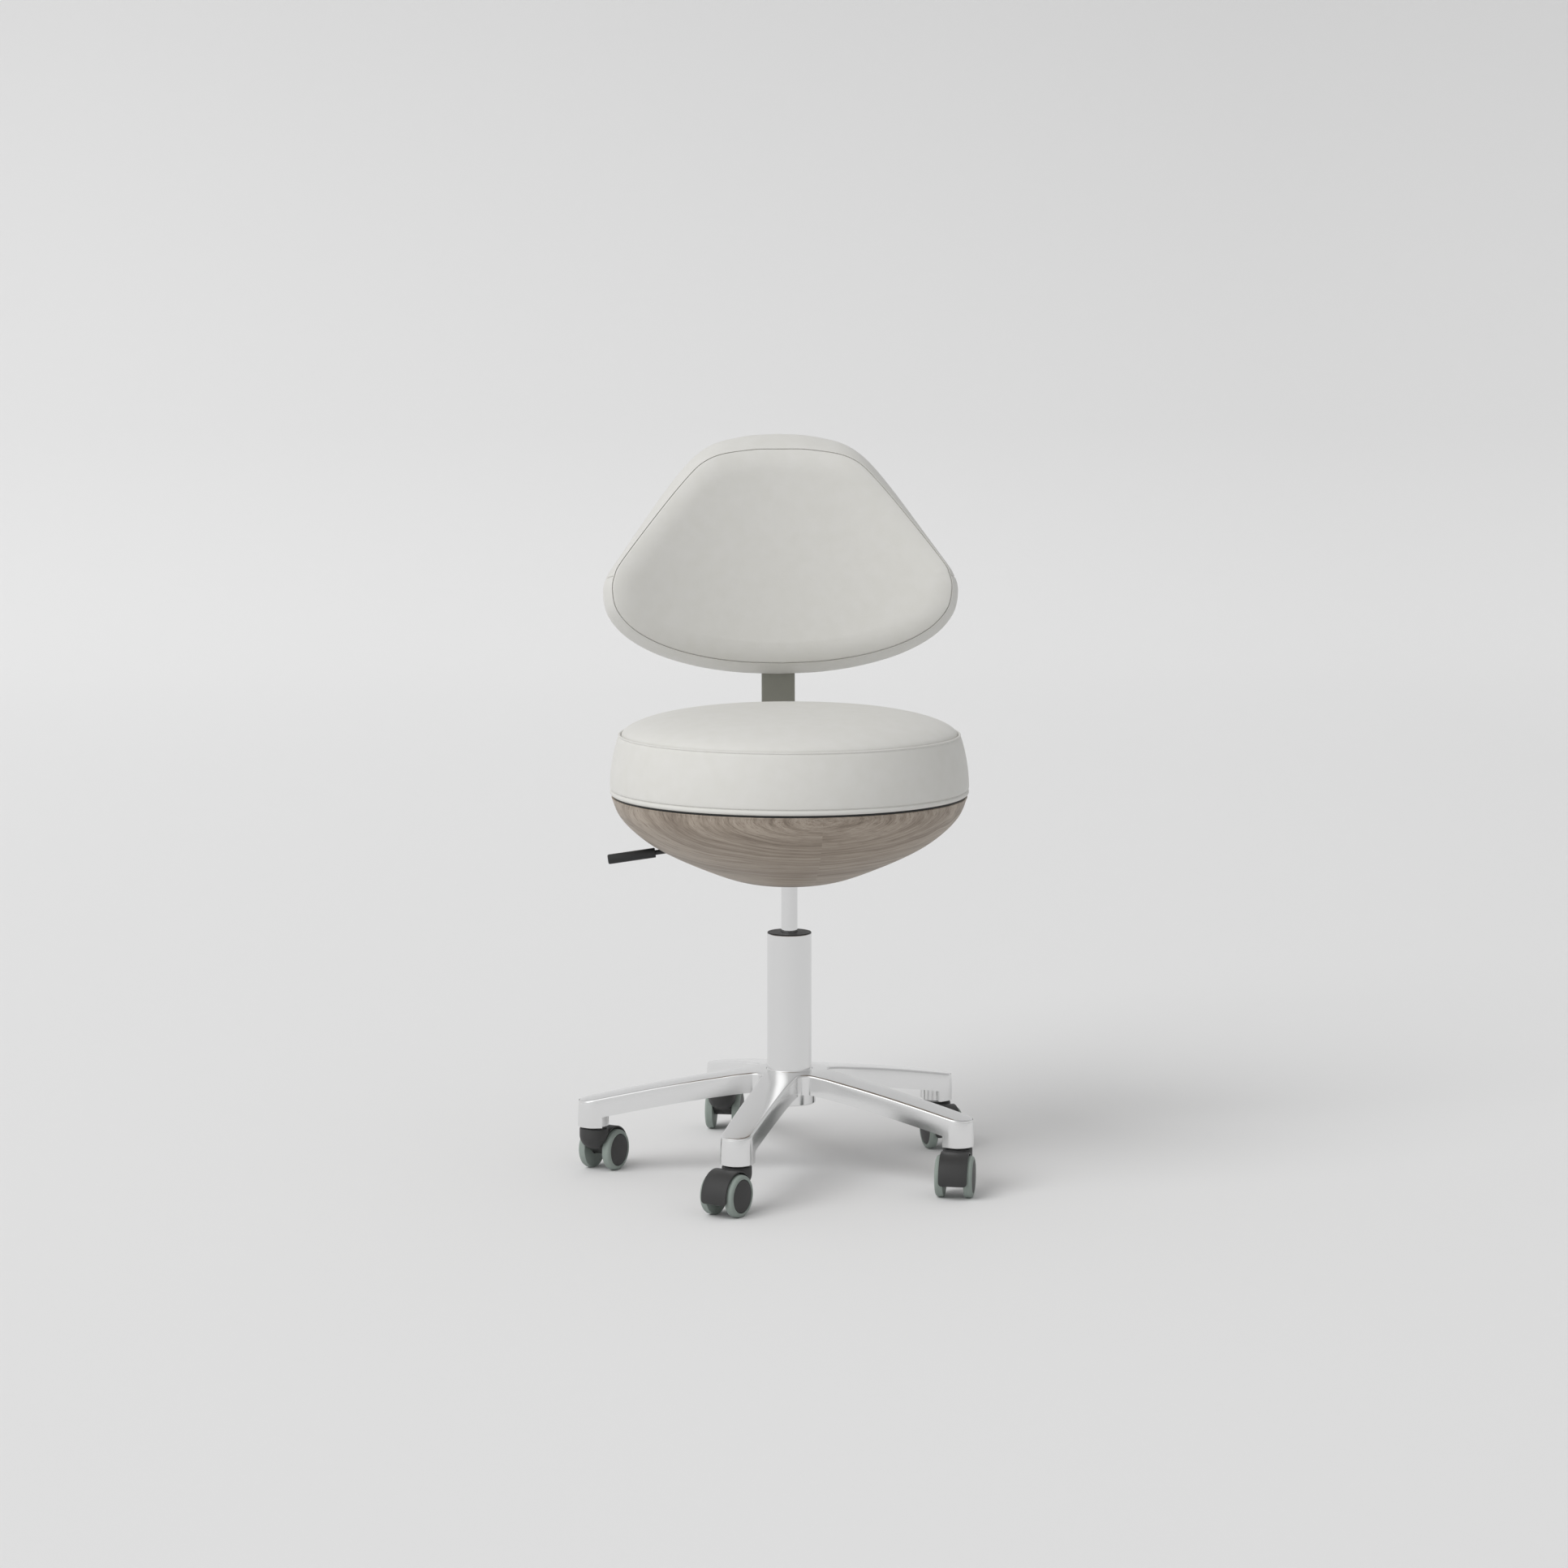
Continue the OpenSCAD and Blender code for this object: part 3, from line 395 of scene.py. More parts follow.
@dataclass(frozen=True)
class Ply:
    """Birch plywood with its glue lines."""

    light: Color = tone(205, 178, 140)
    dark: Color = tone(170, 138, 98)

    def build(self, name: str) -> Material:
        """The material under this name."""
        recipe = Recipe(name)
        layers = recipe.noise(700.0, 1.0, (0.02, 0.02, 1.0))
        grain = recipe.noise(90.0, 4.0, (0.15, 1.0, 1.0))
        mixed = (layers * 0.6 + grain * 0.4).clamped()
        return recipe.finish({
            "Base Color": recipe.blend(mixed, self.dark, self.light),
            "Roughness": grain * 0.15 + 0.5,
            "Normal": recipe.bump(grain, 0.0001, 0.4),
        })


class Finishes:
    """All materials of the stool, by record slot."""

    def __init__(self) -> None:
        """Builds each material once."""
        recipes = {
            Slot.BASE: Metal(tone(236), 0.18, 0.03),
            Slot.COLUMN: Metal(tone(232), 0.14, 0.02, (1.0, 1.0, 0.05)),
            Slot.CHROME: Metal(tone(230), 0.06, 0.015),
            Slot.STEEL: Metal(tone(190, 190, 188), 0.32),
            Slot.BLACK_STEEL: Moulded(tone(38), tone(46), 0.4),
            Slot.BAR: Moulded(tone(146, 146, 137), tone(151, 151, 142), 0.42),
            Slot.BLACK: Moulded(tone(36, 37, 37), tone(44, 45, 45)),
            Slot.CASTER: Moulded(tone(50), tone(56)),
            Slot.TREAD: Moulded(tone(137, 147, 141), tone(144, 154, 148), 0.5),
            Slot.BUMP: Moulded(tone(30), tone(38), 0.6),
            Slot.PLYWOOD: Ply(),
            Slot.OAK: Oak(),
            Slot.VINYL: Vinyl(),
        }
        self.materials = {slot: recipe.build(slot.value) for slot, recipe in recipes.items()}

    def dress(self, nodes: dict[str, Object], rows: list[dict]) -> None:
        """Gives every CAD node the finish of its record slot.

        Args:
            nodes: The CAD nodes by name.
            rows: The record's rows of node and material slot.
        """
        slots = {row["node"]: Slot(row["material_slot"]) for row in rows}
        for name, node in nodes.items():
            node.data.materials.clear()
            node.data.materials.append(self.materials[slots[name]])

    def settle(self, made: Object, body: str, slot: Slot,
               *nodes: str) -> Object:
        """Gives a piece its finish, rides it on its body and hides the CAD nodes that it
        replaces.

        Args:
            made: The piece.
            body: The CAD body that it moves with.
            slot: Its material slot.
            nodes: CAD nodes that it replaces.

        Returns:
            The piece.
        """
        made.data.materials.append(self.materials[slot])
        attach(made, body)
        if nodes:
            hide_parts(*nodes)
        LOG.info("%s rides on %s", made.name, body)
        return made


# Mesh tools.


def linked(name: str, data: bpy.types.ID) -> Object:
    """A new object of the scene, at the origin."""
    made = bpy.data.objects.new(name, data)
    bpy.context.scene.collection.objects.link(made)
    return made


def fresh(grown: dict, kind: type = BMVert) -> list:
    """The new vertices, or parts of another kind, in the result of an extrusion."""
    return [g for g in grown["geom"] if isinstance(g, kind)]


def extruded(part: BMesh, faces: list) -> list[BMVert]:
    """Extrudes faces in place, without their first copy, and returns the new vertices."""
    grown = bmesh.ops.extrude_face_region(part, geom=faces)
    bmesh.ops.delete(part, geom=faces, context="FACES_ONLY")
    return fresh(grown)


def sliced(part: BMesh, point: Sequence[float], normal: Sequence[float]) -> None:
    """Cuts edges into a whole mesh along a plane."""
    bmesh.ops.bisect_plane(part, geom=part.verts[:] + part.edges[:] + part.faces[:],
                           dist=WELD, plane_co=point, plane_no=normal)


def turn_by(degrees: float, axis: str = "Z") -> Matrix:
    """Matrix of a turn about an axis."""
    return Matrix.Rotation(math.radians(degrees), 4, axis)


def arm_turn(index: int) -> Matrix:
    """Matrix that turns a piece along X onto an arm."""
    return turn_by(FIRST_ARM + index * 360.0 / ARM_COUNT)


class Form:
    """A mesh under construction, shaped by operators."""

    def __init__(self) -> None:
        """Starts empty."""
        self.mesh = bmesh.new()

    def wire(self, points: Sequence[Sequence[float]], closed: bool = False) -> list:
        """Adds a chain of edges.

        Args:
            points: Its points.
            closed: Whether the last point joins the first.

        Returns:
            The new edges.
        """
        verts = [self.mesh.verts.new(p) for p in points]
        edges = [self.mesh.edges.new(pair) for pair in zip(verts, verts[1:])]
        if closed:
            edges.append(self.mesh.edges.new((verts[-1], verts[0])))
        return edges

    def turned(self, profile: Sequence[Pair], steps: int,
               place: Matrix | None = None) -> "Form":
        """Spins a half section of radius and height about Z.

        Args:
            profile: Points of (radius, height).
            steps: Facets in a full turn.
            place: Where the turned piece goes, or None to leave it.

        Returns:
            This form.
        """
        part = bmesh.new()
        verts = [part.verts.new((r, 0.0, z)) for r, z in profile]
        edges = [part.edges.new(pair) for pair in zip(verts, verts[1:])]
        bmesh.ops.spin(part, geom=verts + edges, cent=(0, 0, 0), axis=(0, 0, 1),
                       angle=FULL_TURN, steps=steps, use_merge=True, use_duplicate=False)
        bmesh.ops.remove_doubles(part, verts=part.verts, dist=0.1 * WELD)
        if place is not None:
            bmesh.ops.transform(part, matrix=place, verts=part.verts)
        bmesh.ops.recalc_face_normals(part, faces=part.faces)
        return self.join(part)

    def join(self, part: BMesh) -> "Form":
        """Takes in another mesh, which is freed."""
        data = bpy.data.meshes.new("part")
        part.to_mesh(data)
        part.free()
        self.mesh.from_mesh(data)
        bpy.data.meshes.remove(data)
        return self

    def slab(self, outline: Sequence[Sequence[float]], depth: Sequence[float]) -> "Form":
        """Extrudes a closed outline.

        Args:
            outline: The points of its face.
            depth: The vector that the face moves by.

        Returns:
            This form.
        """
        part = bmesh.new()
        face = part.faces.new([part.verts.new(p) for p in outline])
        grown = bmesh.ops.extrude_face_region(part, geom=[face])
        bmesh.ops.translate(part, vec=depth, verts=fresh(grown))
        bmesh.ops.recalc_face_normals(part, faces=part.faces)
        return self.join(part)

    def rounded(self, width: float, segments: int, sharp: float = 0.9) -> "Form":
        """Bevels the edges with an angle above sharp, in radians."""
        edges = [e for e in self.mesh.edges if len(e.link_faces) == 2
                 and e.calc_face_angle(0.0) > sharp]
        bmesh.ops.bevel(self.mesh, geom=edges, offset=width, segments=segments,
                        profile=0.5, affect="EDGES", material=-1, clamp_overlap=True)
        return self

    def piece(self, name: str, sharp: float = SHARP, even: bool = False) -> Object:
        """Makes the object and uses the form up.

        Args:
            name: Its name.
            sharp: Angle in radians from which an edge stays sharp.
            even: Whether large faces lead the shading.

        Returns:
            The linked object, with its place in its mesh.
        """
        data = bpy.data.meshes.new(name)
        for face in self.mesh.faces:
            face.smooth = True
        for edge in self.mesh.edges:
            edge.smooth = edge.calc_face_angle(0.0) < sharp
        self.mesh.to_mesh(data)
        self.mesh.free()
        made = linked(name, data)
        if even:
            shading = made.modifiers.new("shading", "WEIGHTED_NORMAL")
            shading.keep_sharp = True
            shading.weight = LARGE_FACES
        return made


def smooth_line(points: Sequence[Pair], steps: int) -> list[Vector]:
    """Smooth open curve through points.

    Args:
        points: The points that it passes.
        steps: Its steps between two of them.

    Returns:
        Its points.
    """
    known = [Vector(p) for p in points]
    last = len(known) - 1
    line = []
    for i in range(last):
        p0, p1, p2, p3 = known[max(i - 1, 0)], known[i], known[i + 1], known[min(i + 2, last)]
        for t in (k / steps for k in range(steps)):
            line.append(0.5 * (2 * p1 + (p2 - p0) * t + (2 * p0 - 5 * p1 + 4 * p2 - p3) * t * t
                               + (3 * p1 - p0 - 3 * p2 + p3) * t ** 3))
    line.append(known[last])
    return line


def arc(centre: Pair, radius: float, start: float, end: float, steps: int) -> list[Pair]:
    """Points of an arc.

    Args:
        centre: Its centre.
        radius: Its radius.
        start: Its first angle in degrees.
        end: Its last angle in degrees.
        steps: Its steps.

    Returns:
        The points, both ends included.
    """
    angles = [math.radians(start + (end - start) * i / steps) for i in range(steps + 1)]
    return [(centre[0] + radius * math.cos(a), centre[1] + radius * math.sin(a))
            for a in angles]


def carve(made: Object, cutter: Form) -> Object:
    """Takes a cutter's form out of a piece for good.

    Args:
        made: The piece.
        cutter: The closed form that is taken out, which is used up.

    Returns:
        The piece, with the cut in its mesh.
    """
    tool = cutter.piece(f"{made.name}_cutter")
    cut = made.modifiers.new("cut", "BOOLEAN")
    cut.operation = "DIFFERENCE"
    cut.solver = "EXACT"
    cut.object = tool
    graph = bpy.context.evaluated_depsgraph_get()
    result = bpy.data.meshes.new_from_object(made.evaluated_get(graph))
    made.modifiers.clear()
    old, made.data = made.data, result
    bpy.data.meshes.remove(old)
    bpy.data.meshes.remove(tool.data)
    result.set_sharp_from_angle(angle=SHARP)
    return made


def cushioned(made: Object) -> Object:
    level = made.modifiers.new("rounding", "SUBSURF")
    level.levels = level.render_levels = 1
    return made


# The pieces.


@dataclass
class SeatCushion:
    """The round seat cushion: crown, top seam, boxing and foot welt."""

    radius: float = 0.2003
    foot: float = 0.4278
    seam_height: float = 0.4944
    seam_radius: float = 0.1909
    crown: float = 0.0288
    crown_power: float = 3.0
    crown_round: float = 0.6
    crown_steps: int = 26
    welt: float = 0.003
    groove: float = 0.0011
    bead: float = 0.0013
    under_radius: float = 0.194
    recess_radius: float = 0.1853
    recess_top: float = 0.4398
    steps: int = 160

    def crown_line(self, reach: float) -> list[Pair]:
        """Section of the top, from its middle to the seam groove at reach."""
        line = []
        for i in range(self.crown_steps + 1):
            r = reach * math.sin(math.radians(90 * i / self.crown_steps))
            rise = (1 - (r / reach) ** self.crown_power) ** self.crown_round
            line.append((r, self.seam_height + self.crown * rise))
        return line

    def profile(self) -> list[Pair]:
        """Half section from the middle of the top to the middle of the recess."""
        groove, seam = self.groove, self.seam_height
        reach = self.seam_radius - 2 * self.bead - groove
        top_groove = [(reach + share * groove, seam - 1.6 * groove) for share in (0.2, 0.6)]
        bead = arc((self.seam_radius - self.bead, seam - 0.4 * self.bead), self.bead, 165, 5, 8)
        bead.append((self.seam_radius - groove, seam - 1.3 * self.bead))
        side_foot = self.foot + 2 * self.welt + 0.6 * groove
        rise = seam - 1.6 * self.bead - side_foot
        lean = self.radius - self.seam_radius
        bulge = (rise * rise + lean * lean) / (2 * lean)
        side = arc((self.radius - bulge, side_foot), bulge,
                   math.degrees(math.asin(rise / bulge)), 0, 14)
        low_groove = [(self.radius - 1.6 * groove, side_foot - share * groove)
                      for share in (0.2, 0.5)]
        welt = arc((self.radius - self.welt, self.foot + self.welt), self.welt, 62, -90, 10)
        under = [(self.under_radius, self.foot), (self.recess_radius, self.foot),
                 (self.recess_radius, self.recess_top), (0.0, self.recess_top)]
        return self.crown_line(reach) + top_groove + bead + side + low_groove + welt + under

    def build(self, finishes: Finishes) -> None:
        """Makes the cushion."""
        made = Form().turned(self.profile(), self.steps).piece("seat_cushion_cover", SOFT)
        finishes.settle(cushioned(made), "seat", Slot.VINYL, "seat_cushion")


@dataclass
class BackPad:
    """The upholstered back: lip, boxing with corner seams and the hollowed front panel."""

    width: float = 0.409
    height: float = 0.2787
    rise: float = 0.1143
    thickness: float = 0.040
    bulge: float = 0.009
    bend_radius: float = 0.480
    tilt: float = 2.5
    board_top: float = 0.4275
    bar_front: float = 0.1973
    bar_bend: float = 0.008
    board: float = 0.009
    clearance: float = 0.0003
    middle: float = 0.42
    seam: float = 0.0022
    lip: float = -0.008
    swell_width: float = 0.034
    swell_power: float = 2.6
    boxing_steps: int = 9
    steps: int = 8
    corner: int = 5
    rear: tuple = ((0, 1), (0.2, 0.989), (0.415, 0.94), (0.607, 0.8), (0.906, 0.492),
                   (0.982, 0.406), (1, 0.34), (0.972, 0.25), (0.872, 0.163), (0.7, 0.089),
                   (0.48, 0.037), (0.24, 0.008), (0, 0))
    front: tuple = ((0, 0.939), (0.18, 0.935), (0.4, 0.9), (0.567, 0.79), (0.882, 0.5),
                    (0.942, 0.42), (0.953, 0.355), (0.926, 0.276), (0.831, 0.197),
                    (0.668, 0.13), (0.458, 0.083), (0.229, 0.057), (0, 0.0495))
    lip_rows: tuple = ((0.955, 0.0), (0.972, -0.0008), (0.99, 0.0), (1.0, 0.0044))
    seam_rows: tuple = ((0.0002, -0.0002), (0.0006, 0.0), (0.0009, -0.0003),
                        (0.0011, -0.0016), (0.0013, -0.0016), (0.0015, -0.0002))
    swell_rows: tuple = (0.0019, 0.003, 0.0048, 0.007, 0.0095, 0.0125, 0.016, 0.020, 0.0245)
    rear_sizes: tuple = (0.12, 0.4, 0.7, 0.955)
    front_sizes: tuple = (0.76, 0.68, 0.59, 0.5, 0.41, 0.32, 0.23, 0.14, 0.07)

    def outline(self, share: float, size: float) -> list[Pair]:
        """Closed outline between the rear line and the front seam.

        Args:
            share: 0 at the rear line, 1 at the front seam.
            size: Scale about the middle of the pad.

        Returns:
            Points of (across, up), in metres.
        """
        mixed = [tuple(a + (b - a) * share for a, b in zip(p, q))
                 for p, q in zip(self.rear, self.front)]
        half = smooth_line(mixed, self.steps)
        at = self.corner * self.steps
        half[at:at + 1] = [half[at].lerp(half[at - 1], 0.25), half[at],
                           half[at].lerp(half[at + 1], 0.25)]
        both = half + [Vector((-p.x, p.y)) for p in half[-2:0:-1]]
        return [(p.x * size * self.width / 2,
                 (self.middle + (p.y - self.middle) * size) * self.height) for p in both]

    def placed(self, across: float, depth: float, up: float) -> Vector:
        """Point of the bent, tilted pad.

        Args:
            across: Distance to the right of its middle.
            depth: Distance ahead of the board's front face.
            up: Height above its lower edge.

        Returns:
            The point in the stool's frame.
        """
        curve = self.bend_radius - math.sqrt(self.bend_radius ** 2 - across ** 2)
        y = self.bar_bend - self.board - self.clearance - depth - curve
        z = self.rise - self.bar_bend + up
        lean = math.radians(-self.tilt)
        return Vector((across, self.bar_front + y * math.cos(lean) - z * math.sin(lean),
                       self.board_top + self.bar_bend + y * math.sin(lean)
                       + z * math.cos(lean)))

    def ring(self, share: float, size: float, depth: float, pinch: float = 0.0,
             inset: float = 0.0) -> list[Vector]:
        """Points of one ring round the pad.

        Args:
            share: Share of the way from the rear line to the front seam.
            size: Size as a share of that outline.
            depth: Depth ahead of the board's front face.
            pinch: Depth of the two corner seams in this ring.
            inset: Distance by which the outline is drawn in.

        Returns:
            The ring's points in the stool's frame.
        """
        points = self.outline(share, size)
        count = len(points)
        mark = self.corner * self.steps + 1
        ring = []
        for i, (across, up) in enumerate(points):
            after, before = points[(i + 1) % count], points[i - 1]
            along = Vector((after[0] - before[0], after[1] - before[1])).normalized()
            drawn = inset + (pinch if i in (mark, count - mark) else 0.0)
            ring.append(self.placed(across + along.y * drawn, depth, up - along.x * drawn))
        return ring

    def rings(self) -> list[list[Vector]]:
        """Rings from the middle of the rear to the middle of the front."""
        front = self.thickness
        rows = [(0.0, size, 0.0) for size in self.rear_sizes]
        rows += [(0.0, size, self.lip + rise) for size, rise in self.lip_rows]
        for k in range(1, self.boxing_steps):
            share = k / self.boxing_steps
            rows.append((share, 1.0 + 0.006 * math.sin(math.pi * share), front * share,
                         self.seam))
        rows.append((1.0, 1.0, front - 0.0008, self.seam))
        rows += [(1.0, 1.0, front + rise, 0.0, inset) for inset, rise in self.seam_rows]
        for inset in self.swell_rows:
            swell = 1 - (1 - inset / self.swell_width) ** self.swell_power
            rows.append((1.0, 1.0, front + self.bulge * swell, 0.0, inset))
        rows += [(1.0, size, front + self.bulge * (1.0 - 0.04 * size))
                 for size in self.front_sizes]
        return [self.ring(*row) for row in rows]

    def build(self, finishes: Finishes) -> None:
        """Makes the pad."""
        form = Form()
        rings = self.rings()
        edges = form.wire(rings[0], closed=True)
        bmesh.ops.edgeloop_fill(form.mesh, edges=edges)
        for points in rings[1:]:
            grown = bmesh.ops.extrude_edge_only(form.mesh, edges=edges)
            edges = fresh(grown, BMEdge)
            for vert, point in zip(fresh(grown), points):
                vert.co = point
        bmesh.ops.edgeloop_fill(form.mesh, edges=edges)
        bmesh.ops.recalc_face_normals(form.mesh, faces=form.mesh.faces)
        made = form.piece("back_pad_cover", SOFT)
        finishes.settle(cushioned(made), "seat", Slot.VINYL, "back_pad")


@dataclass
class StarBase:
    """The five arm casting: rounded arms, sockets, hub collar and ribbed underside."""

    tip: float = 0.018
    taper: float = 0.8
    depth: float = 0.0225
    drop: float = 0.0296
    drop_power: float = 1.27
    wall: float = 0.004
    hub_depth: float = 0.038
    flat: float = 0.035
    notch: float = 0.012
    edge: float = 0.0026
    edge_segments: int = 6
    draft: float = 0.0013
    crown: float = 0.0009
    ease_start: float = 0.055
    ease_width: float = 0.03
    groove_radius: float = 0.0262
    groove_depth: float = 0.0015
    collar: float = 0.0295
    bore: float = 0.02355
    socket_foot: float = 0.053
    socket: float = 0.0168
    socket_edge: float = 0.0006
    stem: float = 0.0056
    skirt: float = 0.009
    rib: float = 0.0025
    pocket: float = 0.046
    ribs: tuple = (0.35, 0.6, 0.85)
    levels: tuple = (0.3, 0.5, 0.75)
    lanes: tuple = (-0.013, -0.0065, 0.0, 0.0065, 0.013)
    cuts: tuple = (0.030, 0.036, 0.042, 0.048, 0.055, 0.063, 0.072, 0.083, 0.096, 0.110,
                   0.125, 0.140, 0.155, 0.170, 0.185, 0.199, 0.211, 0.218, 0.225, 0.231)

    def arm_top(self, radius: float) -> float:
        """Height of the top of an arm at a distance from the column."""
        share = (max(radius, self.flat) - self.flat) / (ARM_REACH - self.flat)
        return HUB_TOP - self.drop * share ** self.drop_power

    def plan(self) -> list[Pair]:
        """Outline of a fifth of the base, with its arm along X."""
        half = 180.0 / ARM_COUNT
        turn, slope = math.radians(half), math.radians(self.taper)
        line = self.tip + ARM_REACH * math.sin(slope)
        reach = (line + self.notch) / math.sin(turn + slope)
        side = arc((reach * math.cos(turn), reach * math.sin(turn)), self.notch,
                   180 + half, 270 - self.taper, 7)
        side += arc((ARM_REACH, 0.0), self.tip, 90 - self.taper, 0, 11)
        hub = arc((0.0, 0.0), self.groove_radius, -half, half, 12)
        return hub + side + [(x, -y) for x, y in side[-2::-1]]

    def sector(self) -> BMesh:
        """A fifth of the casting with a flat top, its edge rounded and its faces cut up."""
        part = bmesh.new()
        top = part.faces.new([part.verts.new((x, y, 0.0)) for x, y in self.plan()])
        grown = bmesh.ops.extrude_face_region(part, geom=[top])
        bmesh.ops.translate(part, vec=(0, 0, -self.depth), verts=fresh(grown))
        bmesh.ops.recalc_face_normals(part, faces=part.faces)
        limit = math.pi / ARM_COUNT - 1e-4
        inner = [f for f in part.faces if abs(f.normal.z) < 0.5 and
                 all(abs(math.atan2(v.co.y, v.co.x)) > limit for v in f.verts)]
        bmesh.ops.delete(part, geom=inner, context="FACES")
        rim = self.groove_radius + 1e-4
        outer = [e for e in part.edges if len(e.link_faces) == 2
                 and all(v.co.z > -WELD for v in e.verts)
                 and any(v.co.xy.length > rim for v in e.verts)]
        bmesh.ops.bevel(part, geom=outer, offset=self.edge, segments=self.edge_segments,
                        profile=0.5, affect="EDGES", material=-1, clamp_overlap=True)
        for x in self.cuts:
            sliced(part, (x, 0, 0), (1, 0, 0))
        for y in self.lanes:
            sliced(part, (0, y, 0), (0, 1, 0))
        for share in self.levels:
            sliced(part, (0, 0, -share * self.depth), (0, 0, 1))
        return part

    def crowned(self, part: BMesh) -> None:
        """Crowns the top of the arm and draws its sides in, as a casting's draft does."""
        slope = math.tan(math.radians(self.taper))
        for vert in part.verts:
            x, y, z = vert.co
            depth = min(max(-z / self.depth, 0.0), 1.0)
            start = min(max((x - self.ease_start) / self.ease_width, 0.0), 1.0)
            ease = start * start * (3 - 2 * start)
            half = self.tip + max(ARM_REACH - x, 0.0) * slope
            scale = 1 - self.draft * (1 - depth) ** 2 * ease / half
            across = min(abs(y) / half, 1.0)
            vert.co.z = z - self.crown * across ** 2 * ease * max(1 - 3 * depth, 0.0)
            vert.co.y = y * scale
            if x > ARM_REACH:
                vert.co.x = ARM_REACH + (x - ARM_REACH) * scale

    def low_faces(self, part: BMesh, start: float, end: float) -> list:
        """Faces of the flat underside between two distances from the column."""
        return [f for f in part.faces
                if all(v.co.z < WELD - self.depth and start < v.co.x < end for v in f.verts)]

    def hollow(self, part: BMesh) -> None:
        """Opens the underside of an arm between its side walls."""
        low = self.low_faces(part, self.pocket + 0.001, ARM_REACH - self.tip)
        bmesh.ops.inset_region(part, faces=low, thickness=self.wall, use_even_offset=True,
                               use_boundary=True)
        bmesh.ops.translate(part, vec=(0, 0, self.depth - self.wall),
                            verts=extruded(part, low))

    def warped(self, part: BMesh) -> None:
        """Lets the flat form fall along the arms."""
        for vert in part.verts:
            vert.co.z += self.arm_top(vert.co.xy.length)

    def arm(self) -> BMesh:
        """A finished fifth of the casting, with its arm along X and a skirt at its end."""
        part = self.sector()
        self.crowned(part)
        self.hollow(part)
        skirt = extruded(part, self.low_faces(part, ARM_REACH - self.skirt - 1e-5, math.inf))
        self.warped(part)
        for vert in skirt:
            vert.co.z = self.socket_foot
        return part

    def cross_ribs(self) -> BMesh:
        """The cross ribs below one arm."""
        part = bmesh.new()
        slope = math.tan(math.radians(self.taper))
        height = self.depth - self.wall
        for share in self.ribs:
            x = self.pocket + share * (ARM_REACH - self.tip - self.pocket)
            width = 2 * (self.tip + (ARM_REACH - x) * slope) - self.wall
            grown = bmesh.ops.create_cube(part, size=1.0)
            place = Matrix.Translation((x, 0, -self.wall - height / 2)) @ Matrix.Diagonal(
                (self.rib, width, height, 1.0))
            bmesh.ops.transform(part, matrix=place, verts=grown["verts"])
        bmesh.ops.subdivide_edges(part, edges=part.edges[:], cuts=1, use_grid_fill=True)
        self.warped(part)
        return part

    def build(self, finishes: Finishes) -> None:
        """Makes the casting."""
        form = Form()
        for part in (self.arm(), self.cross_ribs()):
            for index in range(ARM_COUNT):
                copy = part.copy()
                bmesh.ops.transform(copy, matrix=arm_turn(index), verts=copy.verts)
                form.join(copy)
            part.free()
        bmesh.ops.remove_doubles(form.mesh, verts=form.mesh.verts, dist=2 * WELD)
        bmesh.ops.recalc_face_normals(form.mesh, faces=form.mesh.faces)
        low = HUB_TOP - self.hub_depth
        step = HUB_TOP - self.groove_depth
        round_foot = arc((self.collar - 0.001, low + 0.001), 0.001, 0, -90, 4)
        form.turned([(self.bore, step), (self.groove_radius, step),
                     (self.groove_radius, step - 0.002), (self.collar, step - 0.002)]
                    + round_foot + [(self.bore, low), (self.bore, step)], 96)
        top = self.arm_top(ARM_REACH) - self.wall
        foot = self.socket_foot + 0.0002
        for index in range(ARM_COUNT):
            form.turned([(self.stem, top), (self.stem, foot),
                         (self.socket - self.socket_edge, foot),
                         (self.socket, foot + self.socket_edge), (self.socket, top)], 64,
                        arm_turn(index) @ Matrix.Translation((ARM_REACH, 0, 0)))
        made = form.piece("star_casting", even=True)
        finishes.settle(made, "base", Slot.BASE, "star_base")


